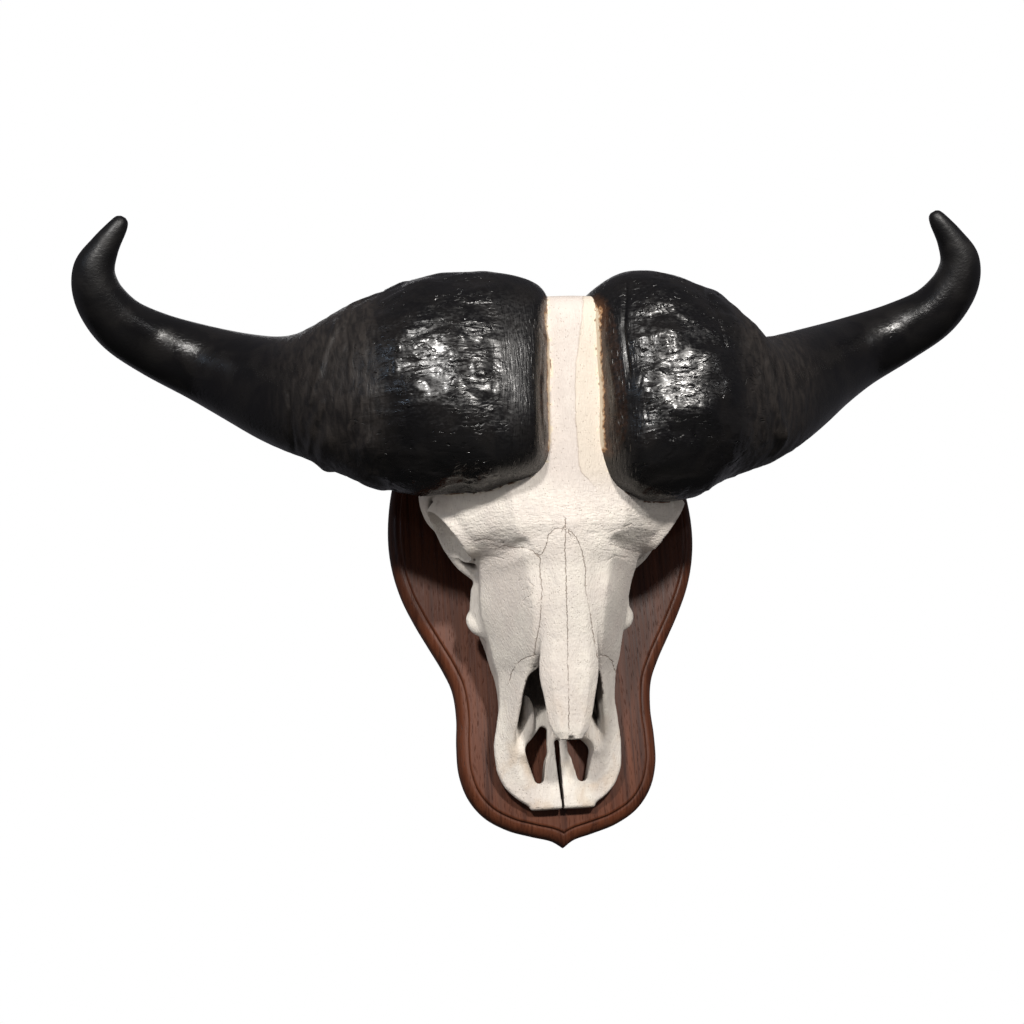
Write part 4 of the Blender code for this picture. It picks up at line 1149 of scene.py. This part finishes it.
def build_tooth(node):
    low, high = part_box(node)
    centre = (low + high) / 2
    half = (high - low) / 2
    outward = 1 if centre.x > 0 else -1
    turn = np.linspace(0, 2 * math.pi, TOOTH_POINTS, endpoint=False)
    x = signed_power(np.cos(turn), TOOTH_SQUARENESS) * half.x
    z = signed_power(np.sin(turn), TOOTH_SQUARENESS) * half.z
    ribs = 1 - 0.11 * (1 + np.cos(3 * math.pi * z / half.z)) * (np.cos(turn) * outward > 0.2)
    rings = []
    for place, size in TOOTH_PROFILE:
        y = np.full(TOOTH_POINTS, centre.y - place * half.y)
        rings.append(np.stack([centre.x + x * ribs * size, y, centre.z + z * size], axis=1))
    mesh = closed_grid_mesh(f"ribbed_{node}", np.array(rings))
    mesh.set_sharp_from_angle(angle=math.radians(50))
    return add_piece(mesh.name, mesh)


tooth_nodes = sorted(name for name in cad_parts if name.startswith("tooth_"))
teeth = {node: build_tooth(node) for node in tooth_nodes}
print("teeth", len(teeth))

# %% [markdown]
# ## Hanger and screws
#
# Nobody sees the back of a trophy on its wall, but a part in a library is seen from all sides. A
# keyhole plate is let into the back, over a pocket that takes the head of the wall screw. A 2D
# curve with holes fills itself, so the plate is three outlines and a thickness. The screws are
# turned: an outline spun round its axis, with a cross cut into the head by a Boolean.

# %% Keyhole plate
HANGER_Z = 0.130
HANGER_SCREW_OFFSET = 0.024
HEAD_RADIUS = 0.0046
SHANK_RADIUS = 0.0022
# Width and length of the plate, of its pocket in the board and of the pocket for the screw's head.
PLATE_SIZE = (0.020, 0.062)
PLATE_POCKET = (0.0212, 0.0632)
HEAD_POCKET = (0.014, 0.026)
SHARP_ANGLE = math.radians(35)


def arc(centre, radius, start, end, count):
    turns = [math.radians(start + (end - start) * step / (count - 1)) for step in range(count)]
    return [(centre[0] + radius * math.cos(t), centre[1] + radius * math.sin(t)) for t in turns]


def stadium(width, length, count=24):
    reach = (length - width) / 2
    return arc((0, reach), width / 2, 0, 180, count) + arc((0, -reach), width / 2, 180, 360, count)


def flat_piece(name, outlines, thickness, bevel):
    """A flat plate in the XZ plane from closed outlines, the later ones being holes."""
    curve = bpy.data.curves.new(name, "CURVE")
    curve.dimensions = "2D"
    curve.fill_mode = "BOTH"
    curve.extrude = thickness / 2 - bevel
    curve.bevel_depth = bevel
    curve.bevel_resolution = 2
    for outline in outlines:
        line = curve.splines.new("POLY")
        line.points.add(len(outline) - 1)
        for point, (x, z) in zip(line.points, outline):
            point.co = (x, z, 0, 1)
        line.use_cyclic_u = True
    source = add_piece(f"{name}_outline", curve)
    mesh = bpy.data.meshes.new_from_object(source.evaluated_get(bpy.context.evaluated_depsgraph_get()))
    bpy.data.objects.remove(source)
    work = bmesh.new()
    work.from_mesh(mesh)
    bmesh.ops.remove_doubles(work, verts=work.verts[:], dist=0.00001)
    bmesh.ops.rotate(work, verts=work.verts[:], matrix=Matrix.Rotation(math.pi / 2, 3, "X"))
    bmesh.ops.recalc_face_normals(work, faces=work.faces[:])
    work.to_mesh(mesh)
    work.free()
    mesh.name = name
    return add_piece(name, mesh)


plate_low, plate_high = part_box("hanger_plate")
keyhole = arc((0, -0.005), HEAD_RADIUS, 119, 421, 30) + arc((0, 0.008), SHANK_RADIUS, 0, 180, 12)
screw_holes = [arc((0, side * HANGER_SCREW_OFFSET), HEAD_RADIUS, 0, 352, 30) for side in (-1, 1)]
plate_outlines = [stadium(*PLATE_SIZE), keyhole, *screw_holes]
hanger = flat_piece("keyhole_plate", plate_outlines, plate_high.y - plate_low.y, 0.0003)
hanger.data.transform(Matrix.Translation((0, (plate_low.y + plate_high.y) / 2, HANGER_Z)))

# %% Screws with a cross in the head
SCREW_POINTS = 40


def cut_away(piece, cutters):
    """Cuts other pieces out of one by Booleans, and deletes them."""
    for cutter in cutters:
        cut = piece.modifiers.new("cut", "BOOLEAN")
        cut.operation = "DIFFERENCE"
        cut.solver = "EXACT"
        cut.object = cutter
    bpy.context.view_layer.update()
    applied(piece)
    for cutter in cutters:
        bpy.data.objects.remove(cutter)


def build_screw(node):
    low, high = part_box(node)
    radius = (high.x - low.x) / 2
    length = high.y - low.y
    profile = [
        (0.0001, 0.0), (radius * 0.96, 0.0), (radius, -0.0002), (radius * 0.98, -0.0006),
        (radius * 0.5, -0.0034), (radius * 0.48, -0.005), (radius * 0.48, 0.005 - length),
        (0.0003, 0.0002 - length),
    ]
    turn = np.linspace(0, 2 * math.pi, SCREW_POINTS, endpoint=False)
    centre = (low + high) / 2
    rings = []
    for r, depth in profile:
        y = np.full(SCREW_POINTS, high.y + depth)
        rings.append(np.stack([centre.x + r * np.cos(turn), y, centre.z + r * np.sin(turn)], axis=1))
    name = f"crosshead_{node}"
    screw = add_piece(name, closed_grid_mesh(name, np.array(rings)))
    screw.data.set_sharp_from_angle(angle=math.radians(30))
    cross = []
    for spin in (20, 110):
        bpy.ops.mesh.primitive_cube_add(size=1)
        blade = bpy.context.object
        blade.scale = (radius * 1.1, 0.0036, radius * 0.26)
        blade.rotation_euler = (0, math.radians(spin), 0)
        blade.location = (centre.x, high.y, centre.z)
        cross.append(blade)
    cut_away(screw, cross)
    return screw


screw_nodes = [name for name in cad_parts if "_screw" in name]
screws = {node: build_screw(node) for node in screw_nodes}
print("screws", sorted(screws))

# %% Pockets in the back of the board
def cutter_at(name, outline, depth, x, z):
    """A block with this outline that reaches this deep into the back of the board."""
    cutter = flat_piece(name, [outline], 2 * depth, 0.0)
    cutter.location = (x, 0, z)
    return cutter


SCREW_PLAY = 0.0003
cutters = [
    cutter_at("pocket_for_plate", stadium(*PLATE_POCKET), 0.0022, 0, HANGER_Z),
    cutter_at("pocket_for_head", stadium(*HEAD_POCKET), 0.010, 0, HANGER_Z),
]
for node in screw_nodes:
    low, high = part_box(node)
    middle = (low + high) / 2
    rim = arc((0, 0), (high.x - low.x) / 2 + SCREW_PLAY, 0, 352, 40)
    cutters.append(cutter_at(f"bore_{node}", rim, 0.003, middle.x, middle.z))
cut_away(board, cutters)
board.data.set_sharp_from_angle(angle=SHARP_ANGLE)
print("board faces", len(board.data.polygons))

# %% [markdown]
# ## Building materials in code
#
# A node material is a chain of small machines. The helpers below add one and link it up. A number
# that changes over the surface is wrapped as a `Signal`, and sums and products of signals become
# `Math` nodes, so that a recipe reads as plain arithmetic from top to bottom. Effects that several
# materials share become node groups with named inputs: they are built once and set differently in
# each material.

# %% Helpers for shader nodes
def plug(tree, socket, value):
    """Fills an input, by a link from a signal or an output, or with a plain value."""
    if isinstance(value, Signal):
        value = value.output
    if isinstance(value, bpy.types.NodeSocket):
        tree.links.new(value, socket)
    elif socket.type == "RGBA":
        socket.default_value = (*value, 1.0)
    else:
        socket.default_value = value


def add_node(tree, kind, inputs=None, **settings):
    machine = tree.nodes.new(kind)
    for name, value in settings.items():
        setattr(machine, name, value)
    for name, value in (inputs or {}).items():
        plug(tree, machine.inputs[name], value)
    return machine


class Signal:
    """A number that changes over a surface: the output of a node. Arithmetic adds more nodes."""

    def __init__(self, tree, output):
        self.tree = tree
        self.output = output

    def maths(self, operation, first, second=0.0):
        node = add_node(self.tree, "ShaderNodeMath", {0: first, 1: second}, operation=operation)
        return Signal(self.tree, node.outputs[0])

    def __add__(self, other):
        return self.maths("ADD", self, other)

    def __sub__(self, other):
        return self.maths("SUBTRACT", self, other)

    def __rsub__(self, other):
        return self.maths("SUBTRACT", other, self)

    def __mul__(self, other):
        return self.maths("MULTIPLY", self, other)

    def __lt__(self, other):
        return self.maths("LESS_THAN", self, other)

    def __abs__(self):
        return self.maths("ABSOLUTE", self)

    def at_least(self, other):
        return self.maths("MAXIMUM", self, other)

    def between(self, low, high, to_low=0.0, to_high=1.0):
        """Turns low to high into to_low to to_high, smoothly, and holds the ends."""
        limits = {"Value": self, "From Min": low, "From Max": high, "To Min": to_low, "To Max": to_high}
        node = add_node(self.tree, "ShaderNodeMapRange", limits, interpolation_type="SMOOTHSTEP")
        return Signal(self.tree, node.outputs["Result"])


def mixed(amount, first, second):
    """The first colour where the amount is nought, and the second where it is one."""
    node = add_node(amount.tree, "ShaderNodeMix", {0: amount, 6: first, 7: second}, data_type="RGBA")
    return node.outputs[2]


def stored(tree, name):
    """Reads a number that `store` has kept for each vertex."""
    return Signal(tree, add_node(tree, "ShaderNodeAttribute", attribute_name=name).outputs["Fac"])


def object_place(tree):
    return add_node(tree, "ShaderNodeTexCoord").outputs["Object"]


def object_height(tree):
    return Signal(tree, add_node(tree, "ShaderNodeSeparateXYZ", {0: object_place(tree)}).outputs["Z"])


def new_material(name):
    material = bpy.data.materials.new(name)
    material.use_nodes = True
    tree = material.node_tree
    return material, tree, tree.nodes["Principled BSDF"]


def connect(tree, shader, links, bump=None, **uniform):
    """Links inputs of the shader, adds a bump of (height, depth), and sets what is uniform."""
    if bump:
        height, depth = bump
        node = add_node(tree, "ShaderNodeBump", {"Height": height, "Distance": depth, "Strength": 1.0})
        links = {**links, "Normal": node.outputs["Normal"]}
    for name, value in links.items():
        plug(tree, shader.inputs[name], value)
    for name, value in uniform.items():
        shader.inputs[name.replace("_", " ")].default_value = value


# %% Two shared groups: grain and pits
def new_group(name, inputs, outputs):
    """A node group whose pattern has a size along each axis, with more inputs besides."""
    group = bpy.data.node_groups.new(name, "ShaderNodeTree")
    for socket, default in {"Size X": 0.01, "Size Y": 0.01, "Size Z": 0.01, **inputs}.items():
        made = group.interface.new_socket(socket, in_out="INPUT", socket_type="NodeSocketFloat")
        made.default_value = default
    for socket in outputs:
        group.interface.new_socket(socket, in_out="OUTPUT", socket_type="NodeSocketFloat")
    return group, group.nodes.new("NodeGroupInput"), group.nodes.new("NodeGroupOutput")


def vector_maths(tree, operation, first, second, third=(0, 0, 0)):
    inputs = {0: first, 1: second, 2: third}
    return add_node(tree, "ShaderNodeVectorMath", inputs, operation=operation).outputs[0]


def stretched_place(group, given, bend=None):
    """Object coordinates, each divided by how far the pattern is drawn out along that axis."""
    place = object_place(group)
    if bend is not None:
        cloud = add_node(group, "ShaderNodeTexNoise", {"Vector": place, "Scale": 55.0, "Detail": 2.0})
        offset = vector_maths(group, "SUBTRACT", cloud.outputs["Color"], (0.5, 0.5, 0.5))
        place = vector_maths(group, "MULTIPLY_ADD", offset, bend, place)
    sizes = {axis: given.outputs[f"Size {axis}"] for axis in "XYZ"}
    return vector_maths(group, "DIVIDE", place, add_node(group, "ShaderNodeCombineXYZ", sizes).outputs[0])


def build_grain_group():
    """Streaks or blotches: noise drawn out along the axes, its contrast set by Low and High."""
    inputs = {"Detail": 4.0, "Wander": 0.5, "Low": 0.35, "High": 0.65}
    group, given, result = new_group("grain", inputs, ["Mask", "Raw"])
    detail, wander, low, high = [given.outputs[name] for name in inputs]
    settings = {"Vector": stretched_place(group, given), "Detail": detail, "Scale": 1.0, "Distortion": wander}
    cloud = Signal(group, add_node(group, "ShaderNodeTexNoise", settings).outputs["Fac"])
    plug(group, result.inputs["Mask"], cloud.between(low, high))
    plug(group, result.inputs["Raw"], cloud)
    return group


def build_pits_group():
    """Small pits scattered in cells: deep in the middle of a cell, and only in some cells."""
    inputs = {"Share": 0.4, "Width": 0.3, "Bend": 0.0}
    group, given, result = new_group("pits", inputs, ["Depth"])
    share, width, bend = [given.outputs[name] for name in inputs]
    settings = {"Vector": stretched_place(group, given, bend), "Scale": 1.0, "Randomness": 1.0}
    cells = add_node(group, "ShaderNodeTexVoronoi", settings)
    colour = add_node(group, "ShaderNodeSeparateColor", {"Color": cells.outputs["Color"]})
    chosen = Signal(group, colour.outputs[0]) < share
    middle = Signal(group, cells.outputs["Distance"]).between(width, 0.0)
    plug(group, result.inputs["Depth"], chosen * middle)
    return group


GRAIN = build_grain_group()
PITS = build_pits_group()


def grouped(tree, group, size, values, output):
    """Puts a shared group into a material and sets its inputs."""
    values = {**{f"Size {axis}": length for axis, length in zip("XYZ", size)}, **values}
    return Signal(tree, add_node(tree, "ShaderNodeGroup", values, node_tree=group).outputs[output])


def grain(tree, size, detail=4.0, low=0.35, high=0.65, wander=0.5, raw=False):
    values = {"Detail": detail, "Low": low, "High": high, "Wander": wander}
    return grouped(tree, GRAIN, size, values, "Raw" if raw else "Mask")


def pits(tree, size, share, width, bend=0.0):
    return grouped(tree, PITS, size, {"Share": share, "Width": width, "Bend": bend}, "Depth")


print("groups", [group.name for group in bpy.data.node_groups])

# %% [markdown]
# ## Bleached bone
#
# Boiled and bleached bone is a warm off-white, pinker and greyer where it is dense, tan where fat
# has come back through, and full of fine pores. The pores are drawn out up and down, along the
# fibres of the bone. Sutures are dark brown and wander.

# %% Bone recipe
def make_bone():
    material, tree, shader = new_material("bleached_bone")
    strip = stored(tree, "strip")
    blotch = grain(tree, (0.055, 0.055, 0.075), 5, 0.38, 0.66)
    fine_blotch = grain(tree, (0.010, 0.010, 0.016), 5, 0.36, 0.7)
    fibre = grain(tree, (0.0016, 0.0016, 0.010), 5, 0.35, 0.7, 0.2)
    colour = mixed(blotch, (0.735, 0.690, 0.620), (0.660, 0.600, 0.545))
    colour = mixed(fine_blotch * 0.45, colour, (0.575, 0.530, 0.495))
    colour = mixed(fibre * 0.14, colour, (0.46, 0.38, 0.31))

    # The strip between the horns is painted greyer: partly its own greyish pink, partly painted shade.
    colour = mixed(strip * 0.7, colour, (0.545, 0.485, 0.445))
    # Painted shadow of the right boss beside the right horn: a yellower band with a darker line along its
    # edge.
    slow = grain(tree, (0.012, 0.012, 0.020), 3, raw=True)
    boss_shadow_side = stored(tree, "boss_shadow_side") + (slow * 4.0 - 2.0)
    band = strip * boss_shadow_side.between(0.7, -0.7)
    colour = mixed(band * 0.7, colour, (0.62, 0.55, 0.455))
    boss_shadow_edge = strip * abs(boss_shadow_side).between(1.1, 0.2)
    colour = mixed(boss_shadow_edge * 0.30, colour, (0.24, 0.17, 0.12))

    # Tan stains low down on the jaw, and pores all over.
    tan = object_height(tree).between(-0.12, -0.22) * grain(tree, (0.02, 0.02, 0.03), 5, 0.45, 0.75)
    colour = mixed(tan * 0.45, colour, (0.50, 0.36, 0.23))
    pore = pits(tree, (0.0019, 0.0019, 0.0034), 0.34, 0.34)
    colour = mixed(pore * 0.45, colour, (0.30, 0.22, 0.16))

    # Sutures and wrinkles, made to wander by noise.
    wiggle = grain(tree, (0.004, 0.004, 0.004), 4, raw=True) * 3.6 - 1.8
    thin = abs(stored(tree, "suture_side") + wiggle).between(0.65, 0.10)
    close = stored(tree, "suture_gap").between(4.0, 2.6)
    broken = grain(tree, (0.014, 0.014, 0.014), 3, 0.36, 0.52)
    suture = thin * close * (broken * 0.7 + 0.3)
    colour = mixed(suture * 0.62, colour, (0.20, 0.125, 0.08))
    wrinkle_gap = stored(tree, "wrinkle_gap")
    wrinkle = (wrinkle_gap + wiggle).between(1.3, 0.3) * wrinkle_gap.between(3.0, 1.5)
    colour = mixed(wrinkle * 0.16, colour, (0.30, 0.22, 0.17))

    # A pale rim beside the horns, and painted shade: a dark line on the bone where it meets them.
    ragged = wiggle * 0.5 + stored(tree, "horn_gap")
    colour = mixed(strip * ragged.between(3.4, 2.2), colour, (0.66, 0.58, 0.465))
    colour = mixed(ragged.between(1.6, 0.6), colour, (0.16, 0.085, 0.05))
    # Painted shade in the hollows, the small holes and the nose: the bone is painted near black there.
    painted_hollow_shade = stored(tree, "shade_in_hollows").between(0.42, 0.95)
    colour = mixed(painted_hollow_shade * 0.93, colour, (0.050, 0.036, 0.028))

    rough = fine_blotch.between(0.0, 1.0, 0.56, 0.74)
    ripple = grain(tree, (0.006, 0.006, 0.0022), 5, raw=True) * (stored(tree, "brow") * 0.8 + 0.35)
    height = ripple - pore * 0.45 + fibre * 0.25 - suture * 0.8 - wrinkle * 0.4 + band * 0.6
    links = {"Base Color": colour, "Roughness": rough}
    connect(tree, shader, links, (height, 0.0009), Specular_IOR_Level=0.35)
    return material


BONE = make_bone()
print("bone recipe", len(BONE.node_tree.nodes), "nodes")

# %% [markdown]
# ## Black horn
#
# Oiled horn is black with a hard shine where it is polished, and grey brown and dull on the neck,
# where growth lines break the surface. On the boss, each flake catches the light for itself.
# Roughness carries most of the look, so it changes from place to place more than the colour does.

# %% Horn recipe
def make_horn():
    material, tree, shader = new_material("black_horn")
    boss, neck, medial = [stored(tree, name) for name in ("boss", "neck", "medial")]
    cloud = grain(tree, (0.03, 0.03, 0.03), 5, 0.35, 0.7)
    streak = grain(tree, (0.005, 0.016, 0.016), 5, 0.3, 0.75)
    fine = grain(tree, (0.004, 0.004, 0.0025), 5, 0.3, 0.7)
    colour = mixed(cloud, (0.0034, 0.0032, 0.0036), (0.0070, 0.0062, 0.0060))
    colour = mixed(neck * (streak * 0.7 + 0.15), colour, (0.027, 0.022, 0.019))

    # Towards the strip of bone the horn turns brown, then orange, then cream, with ragged borders.
    gap = (stored(tree, "bone_gap") * 0.6).at_least(stored(tree, "from_edge") * 0.4)
    gap = gap + (grain(tree, (0.005, 0.005, 0.004), 4, raw=True) * 7.0 - 3.5)
    colour = mixed(gap.between(13.0, 5.5) * 0.85, colour, (0.060, 0.026, 0.012))
    young = gap.between(5.4, 4.0)
    young_colour = mixed(gap.between(2.2, 4.6), (0.66, 0.56, 0.42), (0.36, 0.19, 0.085))
    colour = mixed(young, colour, young_colour)

    # Level dashes on the outer boss, and scratches that run up and down beside the strip.
    outer = boss * (1.0 - medial)
    patch = grain(tree, (0.028, 0.028, 0.020), 3, 0.40, 0.60)
    dashes = pits(tree, (0.010, 0.010, 0.0019), 0.42, 0.46, 0.020) * outer * patch
    scratches = pits(tree, (0.0016, 0.008, 0.012), 0.45, 0.42, 0.004) * medial
    colour = mixed(dashes * 0.8, colour, (0.0012, 0.0011, 0.0011))

    # Roughness: the boss, the free horn, the dull neck, the inner boss, the tip and the young edge.
    rough = fine.between(0.0, 1.0, 0.18, 0.34) * boss
    rough = rough + (1.0 - boss) * cloud.between(0.0, 1.0, 0.19, 0.30)
    rough = rough + neck * (streak * 0.20 + 0.14) + medial * 0.08
    rough = rough + object_height(tree).between(0.22, 0.30, 0.0, 0.22) + young * 0.3

    skin = grain(tree, (0.018, 0.018, 0.0050), 4, raw=True) * outer
    lines = grain(tree, (0.0020, 0.010, 0.020), 4, raw=True) * medial
    height = skin * (patch * 0.7 + 0.3) + fine * (1.0 - boss) * 0.10 - dashes * 0.9
    height = height + lines * 0.7 - scratches * 0.5 + streak * neck * 0.30
    links = {"Base Color": colour, "Roughness": rough}
    connect(tree, shader, links, (height, 0.0010), Specular_IOR_Level=0.36)
    return material


HORN = make_horn()
print("horn recipe", len(HORN.node_tree.nodes), "nodes")

# %% [markdown]
# ## Varnished walnut
#
# The grain runs up the board. Broad dark and red bands come from the growth rings, fine dark
# pores follow them, and a satin varnish lies on top, which a coat layer gives.

# %% Walnut recipe
def make_walnut():
    material, tree, shader = new_material("walnut")
    band = grain(tree, (0.016, 0.05, 0.30), 4, 0.36, 0.66, 1.2)
    streak = grain(tree, (0.0022, 0.006, 0.09), 5, 0.34, 0.68, 0.4)
    pore = pits(tree, (0.0011, 0.0011, 0.011), 0.5, 0.42)
    colour = mixed(band, (0.096, 0.028, 0.012), (0.041, 0.012, 0.006))
    colour = mixed(streak * 0.5, colour, (0.138, 0.046, 0.021))
    colour = mixed(pore * 0.6, colour, (0.020, 0.008, 0.005))
    links = {"Base Color": colour, "Roughness": streak.between(0.0, 1.0, 0.38, 0.52)}
    varnish = {"Specular_IOR_Level": 0.2, "Coat_Weight": 0.15, "Coat_Roughness": 0.32}
    connect(tree, shader, links, (streak * 0.3 - pore, 0.0003), **varnish)
    return material


WALNUT = make_walnut()
print("walnut recipe", len(WALNUT.node_tree.nodes), "nodes")

# %% [markdown]
# ## Enamel, brass, zinc and the floor
#
# The small finishes get the same care at a smaller scale: stained enamel in the teeth, brass with
# tarnish for the hanger, and zinc with a fine grain for the screws.

# %% Recipes for enamel, metal and floor
def make_enamel():
    material, tree, shader = new_material("tooth_enamel")
    stain = grain(tree, (0.004, 0.009, 0.004), 5, 0.35, 0.7)
    wave = grain(tree, (0.02, 0.0012, 0.02), 3, raw=True)
    colour = mixed(stain, (0.62, 0.52, 0.38), (0.26, 0.165, 0.085))
    links = {"Base Color": colour, "Roughness": stain.between(0.0, 1.0, 0.28, 0.55)}
    connect(tree, shader, links, (wave, 0.0004))
    return material


def make_metal(name, clean, dull, rough):
    material, tree, shader = new_material(name)
    tarnish = grain(tree, (0.006, 0.006, 0.006), 5, 0.42, 0.72)
    scratch = grain(tree, (0.0004, 0.003, 0.006), 3, 0.3, 0.7, 0.1)
    roughness = tarnish.between(0.0, 1.0, rough, rough + 0.2)
    links = {"Base Color": mixed(tarnish, clean, dull), "Roughness": roughness}
    connect(tree, shader, links, (scratch, 0.00004), Metallic=1.0)
    return material


def make_floor():
    material, tree, shader = new_material("dark_floor")
    cloud = grain(tree, (0.3, 0.3, 0.3), 3, 0.3, 0.7)
    colour = mixed(cloud, (0.10, 0.10, 0.10), (0.085, 0.085, 0.085))
    connect(tree, shader, {"Base Color": colour}, Roughness=0.7)
    return material


ENAMEL = make_enamel()
BRASS = make_metal("brassed_steel", (0.62, 0.45, 0.20), (0.30, 0.19, 0.08), 0.30)
ZINC = make_metal("zinc_screws", (0.60, 0.60, 0.61), (0.36, 0.36, 0.37), 0.32)
floor.data.materials.append(make_floor())

# %% [markdown]
# ## Dressing the solids
#
# Every piece now rides on the imported body, takes the place of its solid, and gets its finish.

# %% Ride, replace and finish
def dress(piece, node, material):
    piece.data.materials.clear()
    piece.data.materials.append(material)
    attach(piece, "root")
    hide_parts(node)


dress(skull, "skull", BONE)
dress(horn_left, "horn_left", HORN)
dress(horn_right, "horn_right", HORN)
dress(board, "plaque", WALNUT)
dress(hanger, "hanger_plate", BRASS)
for node, tooth in teeth.items():
    dress(tooth, node, ENAMEL)
for node, screw in screws.items():
    dress(screw, node, ZINC)
for piece in (skull, hanger):
    piece.data.shade_smooth()
hanger.data.set_sharp_from_angle(angle=SHARP_ANGLE)
